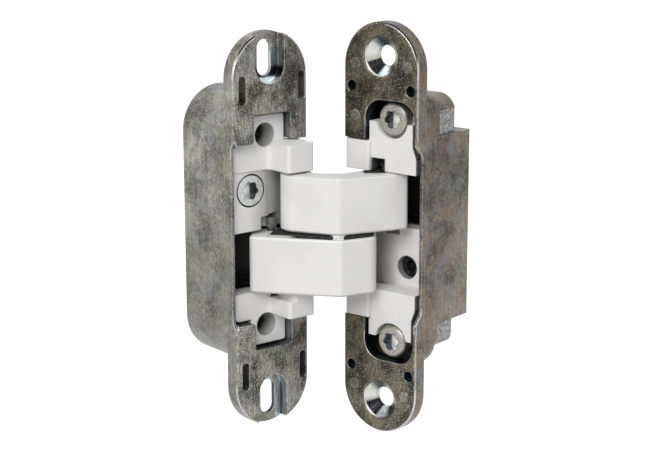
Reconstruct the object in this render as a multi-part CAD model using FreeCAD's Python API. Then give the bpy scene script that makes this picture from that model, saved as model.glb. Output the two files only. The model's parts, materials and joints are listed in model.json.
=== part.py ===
import FreeCAD, Part
import math
import os

# Concealed hinge for a flush door, drawn open at the photo's angle.
# A leaf is measured by u, across the plate from its knuckle edge, n, out of its front face, and z, up.
# The frame leaf stays on the axes: x = HALF_WIDTH - u, y = -n. The door leaf is turned about z.

# Plates
PLATE_WIDTH = 24.0
HALF_WIDTH = PLATE_WIDTH / 2
PLATE_THICKNESS = 4.0
PLATE_EDGE = 0.5
FRAME_PLATE_HALF = 53.2
DOOR_PLATE_HALF = 55.5

# Casings behind the plates
CASING_INSET = 0.3
CASING_HALF = 37.1
CASING_WALL = 1.4
CASING_EDGE = 0.7
CASING_U = (CASING_INSET, PLATE_WIDTH - CASING_INSET)
POCKET_U = (CASING_INSET + CASING_WALL, PLATE_WIDTH - CASING_INSET - CASING_WALL)
POCKET_HALF = CASING_HALF - CASING_WALL
SIDE_WALL_U = 22.9
KNUCKLE_CUT_U = 1.8
KNUCKLE_CUT_DEPTH = -10.5
FRAME_CASING_DEPTH = 24.3
FRAME_FLOOR = CASING_WALL - FRAME_CASING_DEPTH
DOOR_COLLAR_HALF = 37.6
DOOR_COLLAR_CORNER = 8.0
DOOR_COLLAR_DEPTH = 9.5
DOOR_COLLAR_FLOOR = -8.7
DOOR_BOSS_Z = (-32.6, 35.9)
DOOR_BOSS_LOW_CORNER = 3.5
DOOR_BOSS_HIGH_CORNER = 5.2
DOOR_BOSS_DEPTH = 18.2
DOOR_BOSS_FLOOR = CASING_WALL - DOOR_BOSS_DEPTH
DOOR_BLOCK_HALF = 25.6
DOOR_BLOCK_DEPTH = 24.6
DOOR_BLOCK_EDGE = 0.3
DOOR_FLOOR = CASING_WALL - DOOR_BLOCK_DEPTH
DOOR_PATCH_U = 22.9
DOOR_PATCH_END = 32.0
DOOR_PATCH_FRONT = -10.4

# Windows in the plates
WINDOW_OUTER_U = 23.1
FRAME_WINDOW_HALF = 24.2
FRAME_NECK_U = (5.55, 17.5)
FRAME_NECK_HALF = 31.7
PRONG_CORNER = 0.9
WINDOW_CORNER = 0.5
FRAME_LIP_DEPTH = -1.3
FRAME_LIP_FRONT_HALF = 25.4
FRAME_LIP_BACK_HALF = 23.4
DOOR_WINDOW_HALF = 24.4
DOOR_ARCH_U = 7.0
DOOR_ARCH_HALF = 35.2
DOOR_ARCH_RADIUS = 5.0
DOOR_LIP_DEPTH = -2.5
DOOR_LIP_FRONT_HALF = 24.0
DOOR_LIP_BACK_HALF = 21.0
LIP_CORNER = 2.0
OVERCUT = 1.0

# Fixing holes and cover-clip sockets
SLOT_INSET = 7.1
SLOT_CENTRE_Z = FRAME_PLATE_HALF - SLOT_INSET
SLOT_LENGTH = 9.6
SLOT_RADIUS = 2.3
SLOT_RECESS_RADIUS = 4.6
SLOT_RECESS_DEPTH = 2.7
SLOT_RECESS_INSET = 13.8
SLOT_RECESS_END_Z = FRAME_PLATE_HALF - SLOT_RECESS_INSET
CLIP_SLOT_INSET = (18.7, 11.1)
CLIP_SLOT_Z = (FRAME_PLATE_HALF - CLIP_SLOT_INSET[0], FRAME_PLATE_HALF - CLIP_SLOT_INSET[1])
CLIP_SLOT_U = (1.9, 20.9)
CLIP_SLOT_HALF = 1.1
CLIP_SLOT_CORNER = 1.0
CLIP_DEPTH = 3.2
SCREW_HOLE_INSET = 9.0
SCREW_HOLE_Z = DOOR_PLATE_HALF - SCREW_HOLE_INSET
SCREW_HOLE_RADIUS = 2.75
SCREW_SINK_RADIUS = 5.6
CLIP_HOLE_U = (2.6, 21.6)
CLIP_HOLE_INSET = 17.3
CLIP_HOLE_Z = DOOR_PLATE_HALF - CLIP_HOLE_INSET
CLIP_HOLE_RADIUS = 1.5

# Linkage in the plan: (u, n) in each leaf with the hinge at rest
OPENING = 103.1
FULL_OPENING = 180.0
FRAME_PIVOT = (5.4, 1.8)
DOOR_PIVOT = (3.7, -2.8)
CENTRE_IN_FRAME = (1.14, 14.54)
CENTRE_IN_DOOR = (6.31, 10.44)
FRAME_SLIDE = (9.0, -4.3)
DOOR_SLIDE = (12.6, -6.1)
FRAME_RATIO = 0.75
DOOR_RATIO = 0.66
PATH_ARCS = 4
PATH_MARGIN = 1.5

# Arms: outline corners as (u, n, corner radius) in the frame leaf's plan
ARM_GAP = 1.34
ARM_HEIGHT = 15.27
ARM_LOW = ARM_GAP / 2
ARM_HIGH = ARM_LOW + ARM_HEIGHT
ARM_EDGE = 0.5
UPPER_ARM_OUTLINE = [
    (11.46, 3.10, 4.5), (2.66, 16.78, 2.0), (-16.17, 22.16, 1.2),
    (-19.91, 17.94, 2.2), (-18.55, 12.10, 3.0), (-2.61, 11.91, 4.0),
    (3.06, 7.15, 3.0), (0.49, 1.02, 2.6), (6.14, -3.60, 3.5),
]
LOWER_ARM_OUTLINE = [
    (18.12, -1.87, 1.5), (2.33, 17.17, 2.0), (-8.01, 19.26, 3.0),
    (-16.19, 8.64, 3.4), (-10.24, 3.91, 3.2), (-1.17, 10.51, 3.0),
    (4.39, 6.09, 4.0), (5.40, -7.50, 3.0), (13.00, -7.50, 2.5),
]

# Pins, bushes and washers
RUNNING = 0.05
PIVOT_RADIUS = 1.9
PIVOT_END = 23.5
BUSH_RADIUS = 2.7
CENTRE_RADIUS = 1.75
CENTRE_REACH = 13.4
CENTRE_BORE_END = 13.6
WASHER_RADIUS = 2.15
WASHER_SKIN = 0.02
SPACER_RADIUS = 18.0
SPACER_INSET = 0.7
SPACER_CLEARANCE = 0.1
THRUST_RADIUS = 3.3
THRUST_SKIN = 0.03
SLIDE_RADIUS = 1.0
SLEEVE_RADIUS = 1.35
SLEEVE_CLEARANCE = 0.1
GROOVE_RADIUS = SLEEVE_RADIUS + SLEEVE_CLEARANCE
GROOVE_DEPTH = 3.5
SLEEVE_LENGTH = 2.8

# Frame insert
INSERT_FRONT = -2.6
INSERT_MID_FRONT = -2.9
INSERT_BACK = -18.4
INSERT_BACK_WALL = -16.4
INSERT_U = (2.2, 22.5)
INSERT_SHOULDER = 23.7
INSERT_CORNER = 1.6
TAB_U = (5.9, 17.1)
TAB_HALF = 31.0
TAB_CORNER = 0.8
TAB_HOLE_U = 12.1
TAB_HOLE_INSET = 5.2
TAB_HOLE_Z = TAB_HALF - TAB_HOLE_INSET
TAB_HOLE_RADIUS = 3.2
TAB_HOLE_END = -15.5
BRACKET_U = (2.2, 10.8)
BRACKET_FRONT = 6.0
BRACKET_CORNER = 1.0
BRACKET_LOW = 16.4
BRACKET_HIGH = 23.9
BRACKET_FILLET = 1.2
LOWER_BRACKET_Z = (-22.9, -18.4)
LOWER_BRACKET_BOSS_U = 8.9
PIVOT_RELIEF_RADIUS = 7.4
PIVOT_RELIEF_LIP = 2.5
MID_BLOCK_LOW = 0.3
LOWER_BLOCK_TOP = -16.3
FRAME_NOTCH_U = (10.2, 13.3)
FRAME_NOTCH_Z = 3.8
FRAME_NOTCH_DEPTH = -4.4
LOWER_NOTCH_U = (3.6, 10.6)
LOWER_NOTCH_DEPTH = -9.0

# Frame insert screws
SIDE_SCREW_U = 16.6
SIDE_SCREW_Z = 11.3
SIDE_HEAD_RADIUS = 4.05
SIDE_SINK_RADIUS = 4.5
SIDE_HEAD_DEPTH = 3.0
SIDE_SHANK_RADIUS = 2.4
THREAD_CLEARANCE = 0.08
SCREW_TIP_GAP = 0.6
SCREW_BORE_SINK = 0.5
SCREW_TIP = FRAME_FLOOR + SCREW_TIP_GAP
SCREW_BORE_END = FRAME_FLOOR - SCREW_BORE_SINK
SCREW_PAD_TOP = -19.5
SCREW_PAD_HALF = 4.0
CLAMP_SHANK_RADIUS = 2.0
CLAMP_HEAD_RADIUS = 3.1
CLAMP_HEAD_HEIGHT = 2.6
CLAMP_CLEARANCE = 0.3
SOCKET_TIP = 2.5
SOCKET_VALLEY = 2.1
SOCKET_DEPTH = 2.2
SOCKET_LOBES = 6
HEX_SIDES = 6

# Door insert
DOOR_FRONT = -1.4
DOOR_BODY_U = (7.4, 22.5)
DOOR_BLOCK_BACK = -20.8
DOOR_BACK_GAP = 0.3
DOOR_BACK_THICKNESS = 0.8
DOOR_BACK_WALL = (DOOR_FLOOR + DOOR_BACK_GAP + DOOR_BACK_THICKNESS, DOOR_FLOOR + DOOR_BACK_GAP)
DOOR_BACK_U = (2.2, 22.5)
DOOR_SIDE_WALL_U = (21.5, 22.5)
DOOR_SHOULDER = 23.3
DOOR_SHOULDER_SLOPE = 3.0
DOOR_HORN = 29.2
DOOR_HORN_OUTER_U = 21.4
DOOR_UPPER_LOW = 16.1
DOOR_LOWER_TOP = -16.3
DOOR_MID_TOP = -0.3
DOOR_MID_WALL = -9.4
DOOR_MID_KNUCKLE = -7.2
DOOR_MID_BEND = (6.0, -8.3)
DOOR_MID_FLAT_U = 12.0
DOOR_BRACKET_U = (0.2, 8.2)
DOOR_BRACKET_BACK = -8.0
DOOR_BRACKET_FRONT = -0.1
DOOR_UPPER_BRACKET_Z = (DOOR_UPPER_LOW, 24.0)
DOOR_LOWER_BRACKET_Z = (-24.1, -16.4)
DOOR_BRACKET_CORNER = 1.2
DOOR_EDGE = 0.5
DOOR_NOTCH_U = (8.4, 12.4)
DOOR_NOTCH_Z = 19.4
DOOR_NOTCH_DEPTH = -6.0
DOOR_TOP_NOTCH_U = (7.7, 11.7)
DOOR_TOP_NOTCH_Z = -2.5
DOOR_TOP_NOTCH_DEPTH = -16.0
EAR_U = (10.2, 19.2)
EAR_N = (-4.8, -6.6)
EAR_END = 31.0
HEAD_NOTCH_RADIUS = 5.1

# Door insert screws
DOOR_CLAMP_U = 14.7
DOOR_CLAMP_Z = 30.1
DOOR_HEAD_RADIUS = 4.4
DOOR_HEAD_FRONT = -1.6
DOOR_POST_RADIUS = 2.3
DOOR_SHANK_RADIUS = 1.5
DOOR_SHANK_END = -15.0
SET_SCREW_U = 14.3
SET_SCREW_Z = -11.2
SET_SCREW_RADIUS = 2.9
SET_HOLE_RADIUS = 3.2
SET_SCREW_FRONT = -11.2
SET_SEAT = -14.0
SET_SOCKET_RADIUS = 1.75
SET_SOCKET_DEPTH = 2.0

FRAME = -1
DOOR = 1
UP = FreeCAD.Vector(0, 0, 1)
BACKWARD = FreeCAD.Vector(0, 1, 0)
TINY = 1e-4


def spot(side, u, n, z):
    return FreeCAD.Vector(side * (u - HALF_WIDTH), -n, z)


def block(side, us, ns, zs):
    xs = sorted(side * (u - HALF_WIDTH) for u in us)
    ys = sorted(-n for n in ns)
    low, high = sorted(zs)
    corner = FreeCAD.Vector(xs[0], ys[0], low)
    return Part.makeBox(xs[1] - xs[0], ys[1] - ys[0], high - low, corner)


def drill(side, u, z, radius, front, back):
    return Part.makeCylinder(radius, front - back, spot(side, u, front, z), BACKWARD)


def upright(side, plan, radius, low, high):
    return Part.makeCylinder(radius, high - low, spot(side, plan[0], plan[1], low), UP)


def stadium(side, us, half, front, back):
    middle = (us[0] + us[1]) / 2
    straight = half - abs(us[1] - us[0]) / 2
    a = spot(side, us[0], front, -straight)
    b = spot(side, us[0], front, straight)
    c = spot(side, us[1], front, straight)
    d = spot(side, us[1], front, -straight)
    top = Part.Arc(b, spot(side, middle, front, half), c).toShape()
    bottom = Part.Arc(d, spot(side, middle, front, -half), a).toShape()
    wire = Part.Wire([Part.makeLine(a, b), top, Part.makeLine(c, d), bottom])
    return Part.Face(wire).extrude(BACKWARD * (front - back))


def rounded_wire(points, radii):
    edges = []
    starts = []
    ends = []
    mids = []
    count = len(points)
    for i in range(count):
        here = points[i]
        back = points[i - 1] - here
        ahead = points[(i + 1) % count] - here
        back.normalize()
        ahead.normalize()
        half_angle = back.getAngle(ahead) / 2
        reach = radii[i] / math.tan(half_angle)
        bisector = back + ahead
        bisector.normalize()
        starts.append(here + back * reach)
        ends.append(here + ahead * reach)
        mids.append(here + bisector * (radii[i] / math.sin(half_angle) - radii[i]))
    for i in range(count):
        edges.append(Part.Arc(starts[i], mids[i], ends[i]).toShape())
        edges.append(Part.makeLine(ends[i], starts[(i + 1) % count]))
    return Part.Wire(edges)


def plan_face(side, corners, low):
    points = [spot(side, u, n, low) for u, n, radius in corners]
    return Part.Face(rounded_wire(points, [radius for u, n, radius in corners]))


def plan_prism(side, corners, low, high):
    return plan_face(side, corners, low).extrude(UP * (high - low))


def panel(side, us, zs, corner, front, back, high_corner=None):
    low, high = sorted(zs)
    points = [spot(side, us[0], front, low), spot(side, us[0], front, high)]
    points += [spot(side, us[1], front, high), spot(side, us[1], front, low)]
    upper = corner if high_corner is None else high_corner
    wire = rounded_wire(points, [corner, upper, upper, corner])
    return Part.Face(wire).extrude(BACKWARD * (front - back))


def level_edges(shape, axis, value):
    chosen = []
    for edge in shape.Edges:
        box = edge.BoundBox
        low, high = (box.YMin, box.YMax) if axis == "y" else (box.ZMin, box.ZMax)
        if abs(low - value) < TINY and abs(high - value) < TINY:
            chosen.append(edge)
    return chosen


def upright_edges(shape, place):
    chosen = []
    for edge in shape.Edges:
        box = edge.BoundBox
        spread = max(abs(box.XMin - place.x), abs(box.XMax - place.x))
        spread = max(spread, abs(box.YMin - place.y), abs(box.YMax - place.y))
        if spread < TINY:
            chosen.append(edge)
    return chosen


def fuse_all(shapes):
    return shapes[0].fuse(shapes[1:])


def turn(vector, degrees):
    angle = math.radians(degrees)
    u = vector[0] * math.cos(angle) - vector[1] * math.sin(angle)
    n = vector[0] * math.sin(angle) + vector[1] * math.cos(angle)
    return (u, n)


def between(start, end):
    return (end[0] - start[0], end[1] - start[1])


def slide_path(pivot, centre, slide, pivot_ratio, arm_ratio):
    first = -OPENING - PATH_MARGIN
    last = FULL_OPENING - OPENING + PATH_MARGIN
    steps = 2 * PATH_ARCS
    path = []
    for step in range(steps + 1):
        angle = first + (last - first) * step / steps
        link = turn(between(pivot, centre), pivot_ratio * angle)
        tail = turn(between(centre, slide), arm_ratio * angle)
        path.append((pivot[0] + link[0] + tail[0], pivot[1] + link[1] + tail[1]))
    return path


def groove(side, path, radius, low, high):
    points = [spot(side, u, n, low) for u, n in path]
    left = []
    right = []
    for before, here, after in zip(points[:1] + points, points, points[1:] + points[-1:]):
        along = after - before
        along.normalize()
        across = UP.cross(along) * radius
        left.append(here + across)
        right.append(here - across)
    first = points[1] - points[0]
    last = points[-1] - points[-2]
    first.normalize()
    last.normalize()
    edges = [Part.Arc(left[-1], points[-1] + last * radius, right[-1]).toShape()]
    edges.append(Part.Arc(right[0], points[0] - first * radius, left[0]).toShape())
    for wall in (left, right):
        for start, middle, end in zip(wall[:-2:2], wall[1:-1:2], wall[2::2]):
            edges.append(Part.Arc(start, middle, end).toShape())
    wire = Part.Wire(Part.__sortEdges__(edges))
    return Part.Face(wire).extrude(UP * (high - low))


def socket(side, u, z, front, radii, depth):
    points = []
    for i, radius in enumerate(radii):
        angle = 2 * math.pi * i / len(radii)
        points.append(spot(side, u + radius * math.cos(angle), front, z + radius * math.sin(angle)))
    wire = Part.makePolygon(points + points[:1])
    return Part.Face(wire).extrude(BACKWARD * depth)


def six_lobe(side, u, z, front):
    radii = [SOCKET_TIP, SOCKET_TIP, SOCKET_VALLEY, SOCKET_VALLEY] * SOCKET_LOBES
    return socket(side, u, z, front, radii, SOCKET_DEPTH)


def hexagon(side, u, z, front):
    return socket(side, u, z, front, [SET_SOCKET_RADIUS] * HEX_SIDES, SET_SOCKET_DEPTH)


def plate_with_edge(side, half):
    plate = stadium(side, (0, PLATE_WIDTH), half, 0, -PLATE_THICKNESS)
    return plate.makeChamfer(PLATE_EDGE, level_edges(plate, "y", 0))


def frame_casing():
    plate = plate_with_edge(FRAME, FRAME_PLATE_HALF)
    shell = stadium(FRAME, CASING_U, CASING_HALF, -PLATE_THICKNESS, -FRAME_CASING_DEPTH)
    shell = shell.makeChamfer(CASING_EDGE, level_edges(shell, "y", FRAME_CASING_DEPTH))
    behind = (-PLATE_THICKNESS, FRAME_FLOOR)
    wide = (-FRAME_WINDOW_HALF, FRAME_WINDOW_HALF)
    tools = [stadium(FRAME, POCKET_U, POCKET_HALF, behind[0], behind[1])]
    tools.append(block(FRAME, (POCKET_U[0], SIDE_WALL_U), behind, wide))
    tools.append(block(FRAME, (-OVERCUT, KNUCKLE_CUT_U), (OVERCUT, KNUCKLE_CUT_DEPTH), wide))
    tools.append(frame_window())
    tools.append(lip(FRAME, FRAME_LIP_DEPTH, FRAME_LIP_FRONT_HALF, FRAME_LIP_BACK_HALF))
    for way in (-1, 1):
        tools += frame_fixing(way)
    casing = plate.fuse(shell).cut(tools)
    screws = [(SIDE_SCREW_U, SIDE_SCREW_Z, SIDE_SHANK_RADIUS)]
    for z in (-TAB_HOLE_Z, TAB_HOLE_Z):
        screws.append((TAB_HOLE_U, z, CLAMP_SHANK_RADIUS))
    pads = []
    bores = []
    for u, z, radius in screws:
        pad_u = (u - SCREW_PAD_HALF, u + SCREW_PAD_HALF)
        pad_z = (z - SCREW_PAD_HALF, z + SCREW_PAD_HALF)
        pads.append(block(FRAME, pad_u, (SCREW_PAD_TOP, FRAME_FLOOR), pad_z))
        bores.append(drill(FRAME, u, z, radius + THREAD_CLEARANCE, SCREW_PAD_TOP, SCREW_BORE_END))
    return casing.fuse(pads).cut(bores).removeSplitter()


def frame_window():
    near, far = FRAME_NECK_U
    inner = [
        (near, FRAME_NECK_HALF, WINDOW_CORNER), (near, FRAME_WINDOW_HALF, PRONG_CORNER),
        (-OVERCUT, FRAME_WINDOW_HALF, TINY),
    ]
    outer = [
        (WINDOW_OUTER_U, FRAME_WINDOW_HALF, WINDOW_CORNER), (far, FRAME_WINDOW_HALF, PRONG_CORNER),
        (far, FRAME_NECK_HALF, WINDOW_CORNER),
    ]
    corners = outer + inner
    corners += [(u, -z, radius) for u, z, radius in reversed(corners)]
    points = [spot(FRAME, u, OVERCUT, z) for u, z, radius in corners]
    wire = rounded_wire(points, [radius for u, z, radius in corners])
    return Part.Face(wire).extrude(BACKWARD * (OVERCUT + PLATE_THICKNESS))


def lip(side, depth, front_half, back_half):
    profile = [
        (OVERCUT, -front_half, TINY), (0, -front_half, TINY), (depth, -back_half, LIP_CORNER),
        (depth, back_half, LIP_CORNER), (0, front_half, TINY), (OVERCUT, front_half, TINY),
    ]
    points = [spot(side, WINDOW_OUTER_U, n, z) for n, z, radius in profile]
    wire = rounded_wire(points, [radius for n, z, radius in profile])
    across = spot(side, PLATE_WIDTH + OVERCUT, 0, 0) - spot(side, WINDOW_OUTER_U, 0, 0)
    return Part.Face(wire).extrude(across)


def frame_fixing(way):
    low = SLOT_CENTRE_Z - SLOT_LENGTH / 2 + SLOT_RADIUS
    high = SLOT_CENTRE_Z + SLOT_LENGTH / 2 - SLOT_RADIUS
    behind = -PLATE_THICKNESS - OVERCUT
    slot_u = (HALF_WIDTH - SLOT_RADIUS, HALF_WIDTH + SLOT_RADIUS)
    tools = [block(FRAME, slot_u, (OVERCUT, behind), (way * low, way * high))]
    for z in (low, high):
        tools.append(drill(FRAME, HALF_WIDTH, way * z, SLOT_RADIUS, OVERCUT, behind))
    recess_u = (HALF_WIDTH - SLOT_RECESS_RADIUS, HALF_WIDTH + SLOT_RECESS_RADIUS)
    turn_z = way * (SLOT_RECESS_END_Z + SLOT_RECESS_RADIUS)
    recess_z = (turn_z, way * (FRAME_PLATE_HALF + OVERCUT))
    tools.append(block(FRAME, recess_u, (OVERCUT, -SLOT_RECESS_DEPTH), recess_z))
    tools.append(drill(FRAME, HALF_WIDTH, turn_z, SLOT_RECESS_RADIUS, OVERCUT, -SLOT_RECESS_DEPTH))
    for u in CLIP_SLOT_U:
        clip_u = (u - CLIP_SLOT_HALF, u + CLIP_SLOT_HALF)
        clip_z = (way * CLIP_SLOT_Z[0], way * CLIP_SLOT_Z[1])
        tools.append(panel(FRAME, clip_u, clip_z, CLIP_SLOT_CORNER, OVERCUT, -CLIP_DEPTH))
    return tools


def frame_insert():
    tab_low = BRACKET_LOW + INSERT_CORNER
    ends = [(BRACKET_LOW, INSERT_SHOULDER), (-INSERT_SHOULDER, LOWER_BLOCK_TOP)]
    tabs = [(tab_low, TAB_HALF), (-TAB_HALF, -tab_low)]
    solids = [panel(FRAME, INSERT_U, zs, INSERT_CORNER, INSERT_FRONT, INSERT_BACK) for zs in ends]
    solids += [panel(FRAME, TAB_U, zs, TAB_CORNER, INSERT_FRONT, INSERT_BACK) for zs in tabs]
    solids.append(frame_middle())
    joined = (BRACKET_LOW, BRACKET_LOW + INSERT_CORNER)
    solids.append(block(FRAME, INSERT_U, (INSERT_MID_FRONT, INSERT_BACK), joined))
    wall_z = (LOWER_BLOCK_TOP - OVERCUT, MID_BLOCK_LOW)
    solids.append(block(FRAME, INSERT_U, (INSERT_BACK_WALL, INSERT_BACK), wall_z))
    corner_u = (INSERT_U[1] - INSERT_CORNER, INSERT_U[1])
    corner_z = (LOWER_BLOCK_TOP - INSERT_CORNER, LOWER_BLOCK_TOP)
    solids.append(block(FRAME, corner_u, (INSERT_FRONT, INSERT_BACK), corner_z))
    solids.append(frame_bracket((BRACKET_LOW, BRACKET_HIGH)))
    solids.append(frame_bracket(LOWER_BRACKET_Z))
    foot = INSERT_FRONT - OVERCUT
    boss = [
        (BRACKET_U[0], foot, TINY), (BRACKET_U[0], BRACKET_FRONT, BRACKET_CORNER),
        (LOWER_BRACKET_BOSS_U, BRACKET_FRONT, BRACKET_CORNER), (LOWER_BRACKET_BOSS_U, foot, TINY),
    ]
    solids.append(plan_prism(FRAME, boss, LOWER_BRACKET_Z[1] - OVERCUT, LOWER_BLOCK_TOP))
    return fuse_all(solids).cut(frame_insert_cuts()).removeSplitter()


def frame_middle():
    solid = block(FRAME, INSERT_U, (INSERT_MID_FRONT, INSERT_BACK), (MID_BLOCK_LOW, BRACKET_LOW))
    solid = solid.cut(upright(FRAME, FRAME_PIVOT, PIVOT_RELIEF_RADIUS, MID_BLOCK_LOW, BRACKET_LOW))
    reach = FRAME_PIVOT[1] - INSERT_MID_FRONT
    lip_u = FRAME_PIVOT[0] + math.sqrt(PIVOT_RELIEF_RADIUS ** 2 - reach ** 2)
    lip = upright_edges(solid, spot(FRAME, lip_u, INSERT_MID_FRONT, MID_BLOCK_LOW))
    return solid.makeFillet(PIVOT_RELIEF_LIP, lip)


def frame_insert_cuts():
    path = slide_path(FRAME_PIVOT, CENTRE_IN_FRAME, FRAME_SLIDE, FRAME_RATIO, 1 - DOOR_RATIO)
    upper_groove = (MID_BLOCK_LOW - OVERCUT, MID_BLOCK_LOW + GROOVE_DEPTH)
    lower_groove = (LOWER_BLOCK_TOP - GROOVE_DEPTH, LOWER_BLOCK_TOP + OVERCUT)
    tools = [groove(FRAME, path, GROOVE_RADIUS, low, high) for low, high in (upper_groove, lower_groove)]
    notch_z = (MID_BLOCK_LOW - OVERCUT, FRAME_NOTCH_Z)
    tools.append(block(FRAME, FRAME_NOTCH_U, (OVERCUT, FRAME_NOTCH_DEPTH), notch_z))
    lower_z = (LOWER_BRACKET_Z[1], LOWER_BLOCK_TOP + OVERCUT)
    tools.append(block(FRAME, LOWER_NOTCH_U, (INSERT_FRONT + OVERCUT, LOWER_NOTCH_DEPTH), lower_z))
    tools.append(upright(FRAME, FRAME_PIVOT, PIVOT_RADIUS, BRACKET_LOW - OVERCUT, PIVOT_END))
    seat = INSERT_MID_FRONT - SIDE_HEAD_DEPTH
    bore = SIDE_SHANK_RADIUS + THREAD_CLEARANCE
    tools.append(drill(FRAME, SIDE_SCREW_U, SIDE_SCREW_Z, SIDE_SINK_RADIUS, OVERCUT, seat))
    tools.append(drill(FRAME, SIDE_SCREW_U, SIDE_SCREW_Z, bore, seat + OVERCUT, INSERT_BACK))
    hole = CLAMP_SHANK_RADIUS + CLAMP_CLEARANCE
    for z in (-TAB_HOLE_Z, TAB_HOLE_Z):
        tools.append(drill(FRAME, TAB_HOLE_U, z, TAB_HOLE_RADIUS, OVERCUT, TAB_HOLE_END))
        tools.append(drill(FRAME, TAB_HOLE_U, z, hole, TAB_HOLE_END + OVERCUT, INSERT_BACK))
    return tools


def frame_bracket(zs):
    foot = INSERT_FRONT - OVERCUT
    foot_u = BRACKET_U[1] + 2 * BRACKET_FILLET
    corners = [
        (BRACKET_U[0], foot, TINY), (BRACKET_U[0], BRACKET_FRONT, BRACKET_CORNER),
        (BRACKET_U[1], BRACKET_FRONT, BRACKET_CORNER), (BRACKET_U[1], INSERT_FRONT, BRACKET_FILLET),
        (foot_u, INSERT_FRONT, TINY), (foot_u, foot, TINY),
    ]
    return plan_prism(FRAME, corners, zs[0], zs[1])


def side_screw():
    head_back = INSERT_MID_FRONT - SIDE_HEAD_DEPTH
    head = drill(FRAME, SIDE_SCREW_U, SIDE_SCREW_Z, SIDE_HEAD_RADIUS, INSERT_MID_FRONT, head_back)
    shank = drill(FRAME, SIDE_SCREW_U, SIDE_SCREW_Z, SIDE_SHANK_RADIUS, head_back, SCREW_TIP)
    screw = head.fuse(shank)
    return screw.cut(six_lobe(FRAME, SIDE_SCREW_U, SIDE_SCREW_Z, INSERT_MID_FRONT)).removeSplitter()


def frame_clamp_screw(z):
    front = TAB_HOLE_END + CLAMP_HEAD_HEIGHT
    head = drill(FRAME, TAB_HOLE_U, z, CLAMP_HEAD_RADIUS, front, TAB_HOLE_END)
    shank = drill(FRAME, TAB_HOLE_U, z, CLAMP_SHANK_RADIUS, TAB_HOLE_END, SCREW_TIP)
    return head.fuse(shank).cut(hexagon(FRAME, TAB_HOLE_U, z, front)).removeSplitter()


def in_frame(door_plan):
    placed = door_place().multVec(spot(DOOR, door_plan[0], door_plan[1], 0))
    return (HALF_WIDTH - placed.x, -placed.y)


def door_place():
    angle = OPENING - FULL_OPENING
    turned = FreeCAD.Placement(FreeCAD.Vector(0, 0, 0), FreeCAD.Rotation(UP, angle))
    centre = turned.multVec(spot(DOOR, CENTRE_IN_DOOR[0], CENTRE_IN_DOOR[1], 0))
    shift = spot(FRAME, CENTRE_IN_FRAME[0], CENTRE_IN_FRAME[1], 0) - centre
    return FreeCAD.Placement(shift, FreeCAD.Rotation(UP, angle))


def arm_blank(outline, low, high):
    blank = plan_prism(FRAME, outline, low, high)
    edges = level_edges(blank, "z", low) + level_edges(blank, "z", high)
    return blank.makeChamfer(ARM_EDGE, edges)


def upper_arm():
    arm = arm_blank(UPPER_ARM_OUTLINE, ARM_LOW, ARM_HIGH)
    below = ARM_LOW - OVERCUT
    above = ARM_HIGH + OVERCUT
    tools = [upright(FRAME, FRAME_PIVOT, BUSH_RADIUS, below, above)]
    tools.append(upright(FRAME, CENTRE_IN_FRAME, CENTRE_RADIUS + RUNNING, below, CENTRE_BORE_END))
    tools.append(upright(FRAME, in_frame(DOOR_SLIDE), SLIDE_RADIUS, ARM_LOW + OVERCUT, above))
    return arm.cut(tools)


def lower_arm():
    arm = arm_blank(LOWER_ARM_OUTLINE, -ARM_HIGH, -ARM_LOW)
    below = -ARM_HIGH - OVERCUT
    above = -ARM_LOW + OVERCUT
    tools = [upright(FRAME, in_frame(DOOR_PIVOT), BUSH_RADIUS, below, above)]
    tools.append(upright(FRAME, CENTRE_IN_FRAME, CENTRE_RADIUS, -CENTRE_REACH, above))
    tools.append(upright(FRAME, FRAME_SLIDE, SLIDE_RADIUS, below, above))
    return arm.cut(tools)


def centre_spacer():
    low = -ARM_LOW
    high = MID_BLOCK_LOW - SPACER_CLEARANCE
    outline = plan_face(FRAME, LOWER_ARM_OUTLINE, low).makeOffset2D(-SPACER_INSET)
    plate = outline.extrude(UP * (high - low))
    plate = plate.common(upright(FRAME, CENTRE_IN_FRAME, SPACER_RADIUS, low, high))
    return plate.cut(upright(FRAME, CENTRE_IN_FRAME, WASHER_RADIUS + RUNNING, low, high))


def ring(plan, outer, inner, low, high):
    return upright(FRAME, plan, outer, low, high).cut(upright(FRAME, plan, inner, low, high))


def door_casing():
    plate = plate_with_edge(DOOR, DOOR_PLATE_HALF)
    collar_z = (-DOOR_COLLAR_HALF, DOOR_COLLAR_HALF)
    collar = panel(DOOR, CASING_U, collar_z, DOOR_COLLAR_CORNER, -PLATE_THICKNESS, -DOOR_COLLAR_DEPTH)
    boss = panel(DOOR, CASING_U, DOOR_BOSS_Z, DOOR_BOSS_LOW_CORNER, -PLATE_THICKNESS, -DOOR_BOSS_DEPTH,
                 DOOR_BOSS_HIGH_CORNER)
    boss = boss.makeChamfer(CASING_EDGE, level_edges(boss, "y", DOOR_BOSS_DEPTH))
    deep_z = (-DOOR_BLOCK_HALF, DOOR_BLOCK_HALF)
    deep = block(DOOR, CASING_U, (-PLATE_THICKNESS, -DOOR_BLOCK_DEPTH), deep_z)
    deep = deep.makeChamfer(DOOR_BLOCK_EDGE, level_edges(deep, "y", DOOR_BLOCK_DEPTH))
    tools = door_pockets()
    for way in (-1, 1):
        tools += door_fixing(way)
    casing = fuse_all([plate, collar, boss, deep]).cut(tools)
    posts = []
    bores = []
    bore = DOOR_SHANK_RADIUS + THREAD_CLEARANCE
    for z in (-DOOR_CLAMP_Z, DOOR_CLAMP_Z):
        posts.append(drill(DOOR, DOOR_CLAMP_U, z, DOOR_POST_RADIUS, EAR_N[1], DOOR_BOSS_FLOOR))
        bores.append(drill(DOOR, DOOR_CLAMP_U, z, bore, EAR_N[1], DOOR_SHANK_END))
    return casing.fuse(posts).cut(bores).removeSplitter()


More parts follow.
